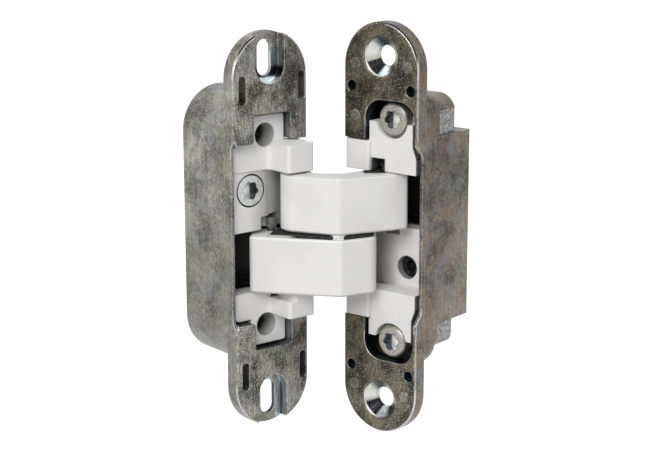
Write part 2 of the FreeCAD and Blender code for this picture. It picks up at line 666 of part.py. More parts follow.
def door_pockets():
    through = (OVERCUT, -PLATE_THICKNESS)
    wide = (-DOOR_WINDOW_HALF, DOOR_WINDOW_HALF)
    arch_u = (DOOR_ARCH_U, WINDOW_OUTER_U)
    arch_z = (-DOOR_ARCH_HALF, DOOR_ARCH_HALF)
    boss_z = (DOOR_BOSS_Z[0] + CASING_WALL, DOOR_BOSS_Z[1] - CASING_WALL)
    deep_z = (-DOOR_BLOCK_HALF + CASING_WALL, DOOR_BLOCK_HALF - CASING_WALL)
    deep_u = (POCKET_U[0], SIDE_WALL_U)
    tools = [stadium(DOOR, POCKET_U, POCKET_HALF, -PLATE_THICKNESS, DOOR_COLLAR_FLOOR)]
    tools.append(panel(DOOR, POCKET_U, boss_z, DOOR_BOSS_LOW_CORNER, -PLATE_THICKNESS, DOOR_BOSS_FLOOR))
    tools.append(block(DOOR, deep_u, (-PLATE_THICKNESS, DOOR_FLOOR), deep_z))
    tools.append(block(DOOR, (-OVERCUT, WINDOW_OUTER_U), through, wide))
    tools.append(block(DOOR, (-OVERCUT, KNUCKLE_CUT_U), (OVERCUT, KNUCKLE_CUT_DEPTH), wide))
    tools.append(panel(DOOR, arch_u, arch_z, DOOR_ARCH_RADIUS, through[0], through[1]))
    tools.append(lip(DOOR, DOOR_LIP_DEPTH, DOOR_LIP_FRONT_HALF, DOOR_LIP_BACK_HALF))
    return tools


def door_fixing(way):
    z = way * SCREW_HOLE_Z
    sink = SCREW_SINK_RADIUS - SCREW_HOLE_RADIUS
    mouth = spot(DOOR, HALF_WIDTH, 0, z)
    tools = [Part.makeCone(SCREW_SINK_RADIUS, SCREW_HOLE_RADIUS, sink, mouth, BACKWARD)]
    tools.append(drill(DOOR, HALF_WIDTH, z, SCREW_HOLE_RADIUS, OVERCUT, -PLATE_THICKNESS - OVERCUT))
    for u in CLIP_HOLE_U:
        tools.append(drill(DOOR, u, way * CLIP_HOLE_Z, CLIP_HOLE_RADIUS, OVERCUT, -CLIP_DEPTH))
    patch_u = (DOOR_PATCH_U, PLATE_WIDTH + OVERCUT)
    patch_z = (way * DOOR_BLOCK_HALF, way * DOOR_PATCH_END)
    tools.append(block(DOOR, patch_u, (DOOR_PATCH_FRONT, -DOOR_BOSS_DEPTH - OVERCUT), patch_z))
    return tools


def door_insert():
    ends = [(DOOR_UPPER_LOW, DOOR_SHOULDER), (-DOOR_SHOULDER, DOOR_LOWER_TOP)]
    solids = []
    for zs in ends:
        solids.append(block(DOOR, DOOR_BODY_U, (DOOR_FRONT, DOOR_BLOCK_BACK), zs))
        solids.append(block(DOOR, DOOR_BACK_U, (DOOR_BLOCK_BACK + OVERCUT, DOOR_BACK_WALL[1]), zs))
    horn_u = (DOOR_BODY_U[0], DOOR_HORN_OUTER_U)
    for way in (-1, 1):
        root = way * (DOOR_SHOULDER - OVERCUT)
        solids.append(block(DOOR, horn_u, (DOOR_FRONT, EAR_N[1]), (root, way * DOOR_HORN)))
        solids.append(block(DOOR, EAR_U, EAR_N, (root, way * EAR_END)))
    solids.append(door_middle())
    full = (-DOOR_SHOULDER, DOOR_SHOULDER)
    solids.append(block(DOOR, DOOR_BACK_U, DOOR_BACK_WALL, full))
    solids.append(block(DOOR, DOOR_SIDE_WALL_U, (DOOR_MID_WALL, DOOR_BACK_WALL[1]), full))
    solids.append(door_bracket(DOOR_UPPER_BRACKET_Z))
    solids.append(door_bracket(DOOR_LOWER_BRACKET_Z))
    return fuse_all(solids).cut(door_insert_cuts()).removeSplitter()


def door_middle():
    low = DOOR_LOWER_TOP - OVERCUT
    start = spot(DOOR, DOOR_BACK_U[0], DOOR_MID_KNUCKLE, low)
    bend = spot(DOOR, DOOR_MID_BEND[0], DOOR_MID_BEND[1], low)
    flat = spot(DOOR, DOOR_MID_FLAT_U, DOOR_MID_WALL, low)
    far = spot(DOOR, DOOR_BACK_U[1], DOOR_MID_WALL, low)
    far_back = spot(DOOR, DOOR_BACK_U[1], DOOR_BACK_WALL[1], low)
    near_back = spot(DOOR, DOOR_BACK_U[0], DOOR_BACK_WALL[1], low)
    straight = Part.makePolygon([flat, far, far_back, near_back, start])
    wire = Part.Wire([Part.Arc(start, bend, flat).toShape()] + straight.Edges)
    return Part.Face(wire).extrude(UP * (DOOR_MID_TOP - low))


def door_insert_cuts():
    path = slide_path(DOOR_PIVOT, CENTRE_IN_DOOR, DOOR_SLIDE, DOOR_RATIO, 1 - FRAME_RATIO)
    below = DOOR_UPPER_LOW - OVERCUT
    tools = [groove(DOOR, path, GROOVE_RADIUS, below, DOOR_UPPER_LOW + GROOVE_DEPTH)]
    tools.append(block(DOOR, DOOR_NOTCH_U, (OVERCUT, DOOR_NOTCH_DEPTH), (below, DOOR_NOTCH_Z)))
    top_z = (DOOR_TOP_NOTCH_Z, DOOR_MID_TOP + OVERCUT)
    tools.append(block(DOOR, DOOR_TOP_NOTCH_U, (DOOR_FRONT, DOOR_TOP_NOTCH_DEPTH), top_z))
    tools.append(upright(DOOR, DOOR_PIVOT, PIVOT_RADIUS, -PIVOT_END, DOOR_LOWER_TOP + OVERCUT))
    hole = DOOR_SHANK_RADIUS + CLAMP_CLEARANCE
    for z in (-DOOR_CLAMP_Z, DOOR_CLAMP_Z):
        tools.append(drill(DOOR, DOOR_CLAMP_U, z, HEAD_NOTCH_RADIUS, OVERCUT, EAR_N[0]))
        tools.append(drill(DOOR, DOOR_CLAMP_U, z, hole, EAR_N[0] + OVERCUT, EAR_N[1]))
    for way in (-1, 1):
        tools.append(door_shoulder(way))
    tools.append(drill(DOOR, SET_SCREW_U, SET_SCREW_Z, SET_HOLE_RADIUS, OVERCUT, SET_SEAT))
    thread_top = SET_SEAT + OVERCUT
    tools.append(drill(DOOR, SET_SCREW_U, SET_SCREW_Z, SET_SCREW_RADIUS, thread_top, DOOR_BACK_WALL[1]))
    return tools


def door_shoulder(way):
    outer_u = DOOR_BODY_U[1]
    top = way * DOOR_SHOULDER
    points = [spot(DOOR, outer_u, OVERCUT, top), spot(DOOR, DOOR_HORN_OUTER_U, OVERCUT, top)]
    points.append(spot(DOOR, outer_u, OVERCUT, way * (DOOR_SHOULDER - DOOR_SHOULDER_SLOPE)))
    wire = Part.makePolygon(points + points[:1])
    return Part.Face(wire).extrude(BACKWARD * (OVERCUT + PLATE_THICKNESS))


def door_bracket(zs):
    near, far = DOOR_BRACKET_U
    corners = [
        (near, DOOR_BRACKET_BACK, TINY), (near, DOOR_BRACKET_FRONT, DOOR_BRACKET_CORNER),
        (far, DOOR_BRACKET_FRONT, DOOR_EDGE), (far, DOOR_BRACKET_BACK, TINY),
    ]
    return plan_prism(DOOR, corners, zs[0], zs[1])


def door_clamp_screw(z):
    head = drill(DOOR, DOOR_CLAMP_U, z, DOOR_HEAD_RADIUS, DOOR_HEAD_FRONT, EAR_N[0])
    head = head.makeChamfer(DOOR_EDGE, level_edges(head, "y", -DOOR_HEAD_FRONT))
    shank = drill(DOOR, DOOR_CLAMP_U, z, DOOR_SHANK_RADIUS, EAR_N[0], DOOR_SHANK_END)
    screw = head.fuse(shank)
    return screw.cut(six_lobe(DOOR, DOOR_CLAMP_U, z, DOOR_HEAD_FRONT)).removeSplitter()


def set_screw():
    screw = drill(DOOR, SET_SCREW_U, SET_SCREW_Z, SET_SCREW_RADIUS, SET_SCREW_FRONT, DOOR_FLOOR)
    return screw.cut(hexagon(DOOR, SET_SCREW_U, SET_SCREW_Z, SET_SCREW_FRONT))


def placed_on_door(shape):
    moved = shape.copy()
    moved.Placement = door_place().multiply(shape.Placement)
    return moved


def save(name, shape):
    solid = shape
    if shape.ShapeType != "Solid" and len(shape.Solids) == 1:
        solid = shape.Solids[0]
    solid.exportStep(os.path.join("parts", name + ".step"))
    print(name, "solids", len(shape.Solids), "valid", shape.isValid(), "volume", round(shape.Volume, 1))


os.makedirs("parts", exist_ok=True)

save("frame_casing", frame_casing())
save("frame_insert", frame_insert())
save("frame_side_screw", side_screw())
save("frame_clamp_screw_upper", frame_clamp_screw(TAB_HOLE_Z))
save("frame_clamp_screw_lower", frame_clamp_screw(-TAB_HOLE_Z))

pivot_low = ARM_LOW + THRUST_SKIN
save("frame_pivot_pin", upright(FRAME, FRAME_PIVOT, PIVOT_RADIUS, pivot_low, PIVOT_END))
save("frame_pivot_washer", ring(FRAME_PIVOT, THRUST_RADIUS, PIVOT_RADIUS + RUNNING,
                                ARM_HIGH + THRUST_SKIN, BRACKET_LOW))
save("frame_pivot_bush", ring(FRAME_PIVOT, BUSH_RADIUS, PIVOT_RADIUS + RUNNING, ARM_LOW, ARM_HIGH))
save("upper_arm", upper_arm())
save("lower_arm", lower_arm())
save("centre_pin", upright(FRAME, CENTRE_IN_FRAME, CENTRE_RADIUS, -CENTRE_REACH, CENTRE_REACH))
save("centre_washer", ring(CENTRE_IN_FRAME, WASHER_RADIUS, CENTRE_RADIUS,
                           -ARM_LOW, ARM_LOW - WASHER_SKIN))
save("centre_spacer", centre_spacer())

frame_groove_top = MID_BLOCK_LOW + SLEEVE_LENGTH
frame_groove_bottom = LOWER_BLOCK_TOP - SLEEVE_LENGTH
save("frame_slide_pin", upright(FRAME, FRAME_SLIDE, SLIDE_RADIUS, frame_groove_bottom, frame_groove_top))
save("frame_slide_sleeve_upper", ring(FRAME_SLIDE, SLEEVE_RADIUS, SLIDE_RADIUS,
                                      MID_BLOCK_LOW, frame_groove_top))
save("frame_slide_sleeve_lower", ring(FRAME_SLIDE, SLEEVE_RADIUS, SLIDE_RADIUS,
                                      frame_groove_bottom, LOWER_BLOCK_TOP))

door_slide = in_frame(DOOR_SLIDE)
door_groove_top = DOOR_UPPER_LOW + SLEEVE_LENGTH
save("door_slide_pin", upright(FRAME, door_slide, SLIDE_RADIUS, ARM_LOW + OVERCUT, door_groove_top))
save("door_slide_sleeve", ring(door_slide, SLEEVE_RADIUS, SLIDE_RADIUS, DOOR_UPPER_LOW, door_groove_top))

door_pivot = in_frame(DOOR_PIVOT)
save("door_pivot_pin", upright(FRAME, door_pivot, PIVOT_RADIUS, -PIVOT_END, -pivot_low))
save("door_pivot_washer", ring(door_pivot, THRUST_RADIUS, PIVOT_RADIUS + RUNNING,
                               DOOR_LOWER_BRACKET_Z[1], -ARM_HIGH - THRUST_SKIN))
save("door_pivot_bush", ring(door_pivot, BUSH_RADIUS, PIVOT_RADIUS + RUNNING, -ARM_HIGH, -ARM_LOW))

save("door_casing", placed_on_door(door_casing()))
save("door_insert", placed_on_door(door_insert()))
save("door_clamp_screw_upper", placed_on_door(door_clamp_screw(DOOR_CLAMP_Z)))
save("door_clamp_screw_lower", placed_on_door(door_clamp_screw(-DOOR_CLAMP_Z)))
save("door_set_screw", placed_on_door(set_screw()))
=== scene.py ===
import json
import math

import bpy
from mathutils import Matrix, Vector


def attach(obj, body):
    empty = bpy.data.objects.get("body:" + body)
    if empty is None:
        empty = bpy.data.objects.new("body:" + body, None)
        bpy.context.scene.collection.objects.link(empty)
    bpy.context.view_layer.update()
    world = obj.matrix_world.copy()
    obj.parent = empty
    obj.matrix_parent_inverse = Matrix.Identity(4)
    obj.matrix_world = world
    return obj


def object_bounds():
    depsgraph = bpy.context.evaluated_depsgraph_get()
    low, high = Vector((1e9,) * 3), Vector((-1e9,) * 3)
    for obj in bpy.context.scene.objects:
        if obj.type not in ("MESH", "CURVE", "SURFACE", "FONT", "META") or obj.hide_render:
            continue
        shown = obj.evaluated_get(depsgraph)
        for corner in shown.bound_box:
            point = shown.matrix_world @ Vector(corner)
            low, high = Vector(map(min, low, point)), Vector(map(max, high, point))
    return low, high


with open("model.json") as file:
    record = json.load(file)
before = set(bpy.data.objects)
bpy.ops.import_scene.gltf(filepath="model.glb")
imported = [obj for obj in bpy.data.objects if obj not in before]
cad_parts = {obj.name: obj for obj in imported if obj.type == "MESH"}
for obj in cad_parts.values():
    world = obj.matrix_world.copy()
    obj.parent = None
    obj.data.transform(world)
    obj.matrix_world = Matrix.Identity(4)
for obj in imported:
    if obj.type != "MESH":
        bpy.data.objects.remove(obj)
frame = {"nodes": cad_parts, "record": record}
cadBox = [list(corner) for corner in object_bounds()]
nodes = frame["nodes"]
print("loaded", len(nodes), "nodes")

millimetre = 0.001  # Blender works in metres
fadeOut = (1.0, 0.0)  # shares of a ramp that falls

# Where each leaf lies: the middle of its plate's front face in mm, and its turn in degrees
frameLeaf = {"centre": (0.0, 0.0, 0.0), "turn": 0.0}
doorLeaf = {"centre": (22.318, -17.716, 0.0), "turn": -76.9}


# Node helpers, shared by every finish
# A pair in the settings is where a ramp starts and ends, in leaf mm or in grain; a share is its strength

def newMaterial(name):
    material = bpy.data.materials.new(name)
    material.use_nodes = True
    tree = material.node_tree
    tree.nodes.clear()
    output = tree.nodes.new("ShaderNodeOutputMaterial")
    shader = tree.nodes.new("ShaderNodeBsdfPrincipled")
    tree.links.new(shader.outputs["BSDF"], output.inputs["Surface"])
    return material, tree, shader


def addNode(tree, kind, **settings):
    node = tree.nodes.new(kind)
    for key, value in settings.items():
        setattr(node, key, value)
    return node


def plug(tree, value, socket):
    if isinstance(value, bpy.types.NodeSocket):
        tree.links.new(value, socket)
    else:
        socket.default_value = value


def calc(tree, operation, first, second=0.0, clamp=False):
    node = addNode(tree, "ShaderNodeMath", operation=operation, use_clamp=clamp)
    plug(tree, first, node.inputs[0])
    plug(tree, second, node.inputs[1])
    return node.outputs[0]


# Smooth change from the first share to the second while the value crosses the span
def ramp(tree, value, span, shares=(0.0, 1.0)):
    node = addNode(tree, "ShaderNodeMapRange", clamp=True, interpolation_type="SMOOTHSTEP")
    plug(tree, value, node.inputs["Value"])
    for end, place, share in (("Min", span[0], shares[0]), ("Max", span[1], shares[1])):
        node.inputs["From " + end].default_value = place
        node.inputs["To " + end].default_value = share
    return node.outputs["Result"]


def band(tree, value, span, soft):
    low, high = span
    rise = ramp(tree, value, (low - soft, low + soft))
    fall = ramp(tree, value, (high - soft, high + soft), fadeOut)
    return calc(tree, "MULTIPLY", rise, fall)


def allOf(tree, *masks):
    product = masks[0]
    for mask in masks[1:]:
        product = calc(tree, "MULTIPLY", product, mask)
    return product


def sumOf(tree, parts):
    total = 0.0
    for part, share in parts:
        total = calc(tree, "ADD", total, calc(tree, "MULTIPLY", part, share))
    return total


def length2d(tree, across, along):
    return calc(tree, "SQRT", sumOf(tree, [(across, across), (along, along)]))


# How far a value lies beyond a straight stretch
def past(tree, value, straight):
    return calc(tree, "MAXIMUM", calc(tree, "SUBTRACT", value, straight), 0.0)


def blendColour(tree, factor, first, second):
    node = addNode(tree, "ShaderNodeMix", data_type="RGBA", blend_type="MIX", clamp_factor=True)
    plug(tree, factor, node.inputs[0])
    plug(tree, first, node.inputs[6])  # the node's colour sockets come after its others
    plug(tree, second, node.inputs[7])
    return node.outputs[2]


def colour(red, green, blue):
    return (red, green, blue, 1.0)


def spectrum(tree, factor, stops):
    node = addNode(tree, "ShaderNodeValToRGB")
    elements = node.color_ramp.elements
    while len(elements) < len(stops):
        elements.new(0.5)
    for element, (position, tone) in zip(elements, stops):
        element.position = position
        element.color = tone
    plug(tree, factor, node.inputs[0])
    return node.outputs[0]


# Share of a full turn, from the left through down, right and up
def turnShare(tree, across, upward):
    angle = calc(tree, "ARCTAN2", upward, across)
    return calc(tree, "ADD", calc(tree, "DIVIDE", angle, math.tau), 0.5)


def noise(tree, place, scale, detail, roughness=0.55, stretch=None):
    node = addNode(tree, "ShaderNodeTexNoise")
    if stretch:
        mapping = addNode(tree, "ShaderNodeMapping")
        mapping.inputs["Scale"].default_value = stretch
        tree.links.new(place, mapping.inputs["Vector"])
        place = mapping.outputs["Vector"]
    tree.links.new(place, node.inputs["Vector"])
    node.inputs["Scale"].default_value = scale
    node.inputs["Detail"].default_value = detail
    node.inputs["Roughness"].default_value = roughness
    return node.outputs["Fac"]


# The leaf's own millimetres: x across the plate, y into the mortise, z up
def leafPlace(tree, leaf):
    mapping = addNode(tree, "ShaderNodeMapping", vector_type="TEXTURE")
    mapping.inputs["Location"].default_value = [value * millimetre for value in leaf["centre"]]
    mapping.inputs["Rotation"].default_value = (0.0, 0.0, math.radians(leaf["turn"]))
    mapping.inputs["Scale"].default_value = (millimetre, millimetre, millimetre)
    tree.links.new(addNode(tree, "ShaderNodeTexCoord").outputs["Object"], mapping.inputs["Vector"])
    split = addNode(tree, "ShaderNodeSeparateXYZ")
    tree.links.new(mapping.outputs["Vector"], split.inputs[0])
    at = {"place": mapping.outputs["Vector"], "x": split.outputs["X"], "y": split.outputs["Y"],
          "z": split.outputs["Z"]}
    at["absX"] = calc(tree, "ABSOLUTE", at["x"])
    at["absZ"] = calc(tree, "ABSOLUTE", at["z"])
    return at


def roundedNormal(tree, radius, samples=6):
    bevel = addNode(tree, "ShaderNodeBevel", samples=samples)
    bevel.inputs["Radius"].default_value = radius * millimetre
    return bevel.outputs["Normal"]


# How far the rounded normal turns from the true one, which it does near an edge
def edgeMask(tree, normal):
    geometry = addNode(tree, "ShaderNodeNewGeometry")
    dot = addNode(tree, "ShaderNodeVectorMath", operation="DOT_PRODUCT")
    tree.links.new(normal, dot.inputs[0])
    tree.links.new(geometry.outputs["Normal"], dot.inputs[1])
    return calc(tree, "SUBTRACT", 1.0, dot.outputs["Value"], clamp=True)


def bumpInto(tree, shader, height, normal, bump):
    node = addNode(tree, "ShaderNodeBump")
    node.inputs["Strength"].default_value = bump["strength"]
    node.inputs["Distance"].default_value = bump["depth"] * millimetre
    tree.links.new(height, node.inputs["Height"])
    tree.links.new(normal, node.inputs["Normal"])
    tree.links.new(node.outputs["Normal"], shader.inputs["Normal"])


# Raw zinc casting: mottled grey with brown passivation, bright where it is worn or machined

castingGrain = {
    "mottle": {"scale": 1.5, "detail": 6.0, "roughness": 0.75},
    "cloud": {"scale": 0.11, "detail": 4.0, "roughness": 0.60},
    "tint": {"scale": 0.16, "detail": 4.0, "roughness": 0.60},
    "stain": {"scale": 0.21, "detail": 5.0, "roughness": 0.65},
    "streak": {"scale": 0.75, "detail": 5.0, "roughness": 0.66, "stretch": (1.0, 1.0, 0.12)},
    "grit": {"scale": 2.3, "detail": 4.0, "roughness": 0.80},
    "brush": {"scale": 1.7, "detail": 4.0, "roughness": 0.70, "stretch": (1.0, 1.0, 0.22)},
}

zincCasting = {
    "patchShares": {"mottle": 0.46, "cloud": 0.40, "streak": 0.14}, "patch": (0.41, 0.59),
    "coolTint": (0.50, 0.64), "rustStain": (0.48, 0.64), "sideGrit": (0.54, 0.68), "sideSpeckShare": 0.5,
    "pitAndShade": colour(0.010, 0.010, 0.008), "pitGrit": (0.30, 0.42), "pitShare": 0.7,
    "worn": colour(0.50, 0.50, 0.47), "wornEdge": (0.02, 0.20), "wornMottle": (0.40, 0.58), "wornShare": 0.9,
    "inside": colour(0.008, 0.008, 0.008), "insideRadius": (10.8, 10.9), "casingStraight": 25.4,
    "insideDepthSoft": 0.3, "insideHeightSoft": 0.1,
    "edgeRadius": 0.45, "metal": 0.8,
    "roughMottle": (0.3, 0.7), "roughness": (0.30, 0.50), "milledPolish": 0.12, "insideDull": 0.4,
    "bump": {"strength": 0.35, "depth": 0.06}, "bumpShares": {"grit": 1.0, "mottle": 1.4},
}

frameZinc = {
    "faceDark": colour(0.012, 0.012, 0.009), "faceLight": colour(0.430, 0.414, 0.352),
    "faceTint": colour(0.300, 0.335, 0.335), "speck": colour(0.900, 0.885, 0.800),
    "sideDark": colour(0.078, 0.077, 0.066), "sideLight": colour(0.415, 0.406, 0.358),
    "sideSpeck": colour(0.600, 0.590, 0.540),
    "cool": colour(0.290, 0.315, 0.325), "coolShare": 0.45,
    "stain": colour(0.170, 0.142, 0.095), "stainShare": 0.55, "faceStainShare": 0.20,
    "fallHeight": (26.0, -22.0), "fallShare": 0.38,
    "rim": colour(0.62, 0.62, 0.60), "rimSide": -1.0, "rimFrom": (38.5, 41.5), "rimCross": (44.5, 48.5),
    "plateStraight": 41.2, "insideDepth": (4.2, 22.6), "insideHeight": (-36.4, 36.4),
}

doorZinc = {
    "faceDark": colour(0.006, 0.006, 0.004), "faceLight": colour(0.190, 0.178, 0.128),
    "faceTint": colour(0.205, 0.186, 0.118), "speck": colour(0.760, 0.705, 0.535),
    "sideDark": colour(0.050, 0.045, 0.036), "sideLight": colour(0.270, 0.243, 0.202),
    "sideSpeck": colour(0.380, 0.355, 0.315),
    "cool": colour(0.165, 0.180, 0.196), "coolShare": 0.60,
    "stain": colour(0.165, 0.106, 0.058), "stainShare": 0.60, "faceStainShare": 0.22,
    "fallHeight": (-12.0, 28.0), "fallShare": 0.12,
    "rim": colour(0.82, 0.82, 0.79), "rimSide": 1.0, "rimFrom": (24.0, 27.0), "rimCross": (44.0, 48.5),
    "plateStraight": 43.5, "insideDepth": (4.2, 16.5), "insideHeight": (-31.9, 35.2),
}


# The casing is mottled and cloudy, and shades off along its height
def castSide(tree, at, grain, patch, rust, look):
    tone = blendColour(tree, patch, look["sideDark"], look["sideLight"])
    cool = ramp(tree, grain["tint"], zincCasting["coolTint"], (0.0, look["coolShare"]))
    tone = blendColour(tree, cool, tone, look["cool"])
    tone = blendColour(tree, allOf(tree, rust, look["stainShare"]), tone, look["stain"])
    speck = ramp(tree, grain["grit"], zincCasting["sideGrit"], (0.0, zincCasting["sideSpeckShare"]))
    tone = blendColour(tree, speck, tone, look["sideSpeck"])
    fall = ramp(tree, at["z"], look["fallHeight"], (0.0, look["fallShare"]))
    return blendColour(tree, fall, tone, zincCasting["pitAndShade"])


# The plate's show face has a fine bright speckle over brown and dark clouds
showFace = {
    "depth": (0.10, 0.35),
    "speckle": (0.40, 0.60), "gritShare": 0.34, "brushShare": 0.34, "patchShare": 0.32,
    "tint": (0.50, 0.62), "tintShare": 0.35,
    "gloom": (0.54, 0.40), "gloomShare": 0.65,
    "sparkGrit": (0.54, 0.66), "sparkShare": 0.95, "sparkBrush": (0.40, 0.58), "sparkLeast": 0.15,
}


def plateFace(tree, grain, patch, rust, look):
    speckle = sumOf(tree, [
        (ramp(tree, grain["grit"], showFace["speckle"]), showFace["gritShare"]),
        (ramp(tree, grain["brush"], showFace["speckle"]), showFace["brushShare"]),
        (patch, showFace["patchShare"]),
    ])
    tone = blendColour(tree, speckle, look["faceDark"], look["faceLight"])
    tone = blendColour(tree, allOf(tree, rust, look["faceStainShare"]), tone, look["stain"])
    tint = ramp(tree, grain["tint"], showFace["tint"], (0.0, showFace["tintShare"]))
    tone = blendColour(tree, tint, tone, look["faceTint"])
    gloom = ramp(tree, grain["cloud"], showFace["gloom"], (0.0, showFace["gloomShare"]))
    tone = blendColour(tree, gloom, tone, look["faceDark"])
    spark = allOf(tree, ramp(tree, grain["grit"], showFace["sparkGrit"], (0.0, showFace["sparkShare"])),
                  ramp(tree, grain["brush"], showFace["sparkBrush"], (showFace["sparkLeast"], 1.0)))
    return blendColour(tree, spark, tone, look["speck"])


# Painted highlight and shade: two fine lines along the chamfer on the plate's outer side, one painted bright
# and one dark, which change places near the top
plateRim = {
    "depth": (0.45, 0.60), "across": (0.0, 4.0),
    "outerLine": (11.62, 11.95), "innerLine": (11.36, 11.58), "lineSoft": 0.05,
    "grit": (0.36, 0.56), "gritShares": (0.95, 0.38), "height": (38.0, 45.0), "heightShares": (0.5, 1.0),
    "darkHeight": (40.0, 43.0), "darkShare": 0.7,
}


def lineRim(tree, at, tone, grain, outside, look):
    outward = length2d(tree, at["x"], past(tree, at["absZ"], look["plateStraight"]))
    onRim = allOf(tree, ramp(tree, at["y"], plateRim["depth"], fadeOut),
                  ramp(tree, outside, plateRim["across"]), ramp(tree, at["absZ"], look["rimFrom"]))
    outer = allOf(tree, onRim, band(tree, outward, plateRim["outerLine"], plateRim["lineSoft"]))
    inner = allOf(tree, onRim, band(tree, outward, plateRim["innerLine"], plateRim["lineSoft"]))
    crossed = ramp(tree, at["z"], look["rimCross"])
    straight = calc(tree, "SUBTRACT", 1.0, crossed)
    bright = allOf(tree, sumOf(tree, [(outer, straight), (inner, crossed)]),
                   ramp(tree, grain["grit"], plateRim["grit"], plateRim["gritShares"]),
                   ramp(tree, at["absZ"], plateRim["height"], plateRim["heightShares"]))
    tone = blendColour(tree, bright, tone, look["rim"])
    # the line that is not bright is painted dark
    shaded = allOf(tree, inner, ramp(tree, at["z"], plateRim["darkHeight"], (0.0, plateRim["darkShare"])))
    dark = sumOf(tree, [(shaded, straight), (outer, crossed)])
    return blendColour(tree, dark, tone, zincCasting["pitAndShade"])


# Painted highlights on the lips' edges beside the window
lipGlint = {
    "edge": (0.01, 0.08), "depth": (2.6, 2.9), "across": (9.0, 10.0),
    "height": (20.0, 26.5), "heightSoft": 1.0, "brush": (0.42, 0.56), "brushShares": (0.4, 1.0),
}


def glintLips(tree, at, tone, grain, edge, outside, look):
    glint = allOf(tree, ramp(tree, edge, lipGlint["edge"]), ramp(tree, at["y"], lipGlint["depth"], fadeOut),
                  ramp(tree, outside, lipGlint["across"]),
                  band(tree, at["absZ"], lipGlint["height"], lipGlint["heightSoft"]),
                  ramp(tree, grain["brush"], lipGlint["brush"], lipGlint["brushShares"]))
    return blendColour(tree, glint, tone, look["rim"])


# Painted shade: inside the casing is painted next to black, as next to no light comes back
def casingInside(tree, at, look):
    outward = length2d(tree, at["x"], past(tree, at["absZ"], zincCasting["casingStraight"]))
    return allOf(tree, ramp(tree, outward, zincCasting["insideRadius"], fadeOut),
                 band(tree, at["y"], look["insideDepth"], zincCasting["insideDepthSoft"]),
                 band(tree, at["z"], look["insideHeight"], zincCasting["insideHeightSoft"]))


def makeZinc(name, leaf, look, machine):
    material, tree, shader = newMaterial(name)
    at = leafPlace(tree, leaf)
    grain = {key: noise(tree, at["place"], **settings) for key, settings in castingGrain.items()}
    rounded = roundedNormal(tree, zincCasting["edgeRadius"])
    edge = edgeMask(tree, rounded)
    patch = sumOf(tree, [(grain[key], share) for key, share in zincCasting["patchShares"].items()])
    patch = ramp(tree, patch, zincCasting["patch"])
    rust = ramp(tree, grain["stain"], zincCasting["rustStain"])

    sideTone = castSide(tree, at, grain, patch, rust, look)
    faceTone = plateFace(tree, grain, patch, rust, look)
    tone = blendColour(tree, ramp(tree, at["y"], showFace["depth"], fadeOut), sideTone, faceTone)
    pits = ramp(tree, grain["grit"], zincCasting["pitGrit"], (zincCasting["pitShare"], 0.0))
    tone = blendColour(tree, pits, tone, zincCasting["pitAndShade"])
    worn = allOf(tree, ramp(tree, edge, zincCasting["wornEdge"]),
                 ramp(tree, grain["mottle"], zincCasting["wornMottle"], (0.0, zincCasting["wornShare"])))
    tone = blendColour(tree, worn, tone, zincCasting["worn"])
    outside = calc(tree, "MULTIPLY", at["x"], look["rimSide"])
    tone = lineRim(tree, at, tone, grain, outside, look)
    tone = glintLips(tree, at, tone, grain, edge, outside, look)
    # painted shade inside the casing
    inside = casingInside(tree, at, look)
    tone = blendColour(tree, inside, tone, zincCasting["inside"])
    tone, milled = machine(tree, at, tone, grain, edge)
    tree.links.new(tone, shader.inputs["Base Color"])

    rough = ramp(tree, grain["mottle"], zincCasting["roughMottle"], zincCasting["roughness"])
    rough = calc(tree, "SUBTRACT", rough, allOf(tree, milled, zincCasting["milledPolish"]))
    rough = calc(tree, "ADD", rough, allOf(tree, inside, zincCasting["insideDull"]))
    tree.links.new(rough, shader.inputs["Roughness"])
    shader.inputs["Metallic"].default_value = zincCasting["metal"]
    height = sumOf(tree, [(grain[key], share) for key, share in zincCasting["bumpShares"].items()])
    bumpInto(tree, shader, height, rounded, zincCasting["bump"])
    return material


# Milled screw slots and window of the frame plate

plateBack = (3.70, 3.85)
windowAcross = (11.05, 11.20)

frameSlots = {
    "depth": (0.25, 0.40), "across": (4.65, 4.75), "height": (39.2, 39.3), "middle": (-1.0, 1.0),
    "streak": (0.40, 0.60), "hole": (2.75, 2.95),
    "lip": colour(0.78, 0.86, 0.88), "shadow": colour(0.008, 0.009, 0.010),
}

# The upper slot has a painted highlight at its end and on its hole's walls, a painted shadow above it, and
# fades into the plate
upperSlot = {
    "dark": colour(0.050, 0.060, 0.062), "light": colour(0.230, 0.260, 0.260),
    "shadow": (41.2, 43.6), "shadowSoft": 0.5, "lip": (40.5, 41.1), "lipShare": 0.9, "holeShare": 0.5,
    "fade": (46.5, 49.5),
}

# The lower slot is evenly pale, with painted shade in its corner and on its hole's walls, and plain below
# its hole
lowerSlot = {
    "dark": colour(0.200, 0.235, 0.242), "light": colour(0.360, 0.415, 0.425),
    "cornerAcross": (4.30, 4.45), "cornerDepth": (2.35, 2.55),
    "plainHeight": (-48.0, -49.5), "plainAcross": (2.6, 2.0), "holeShare": 0.85,
}


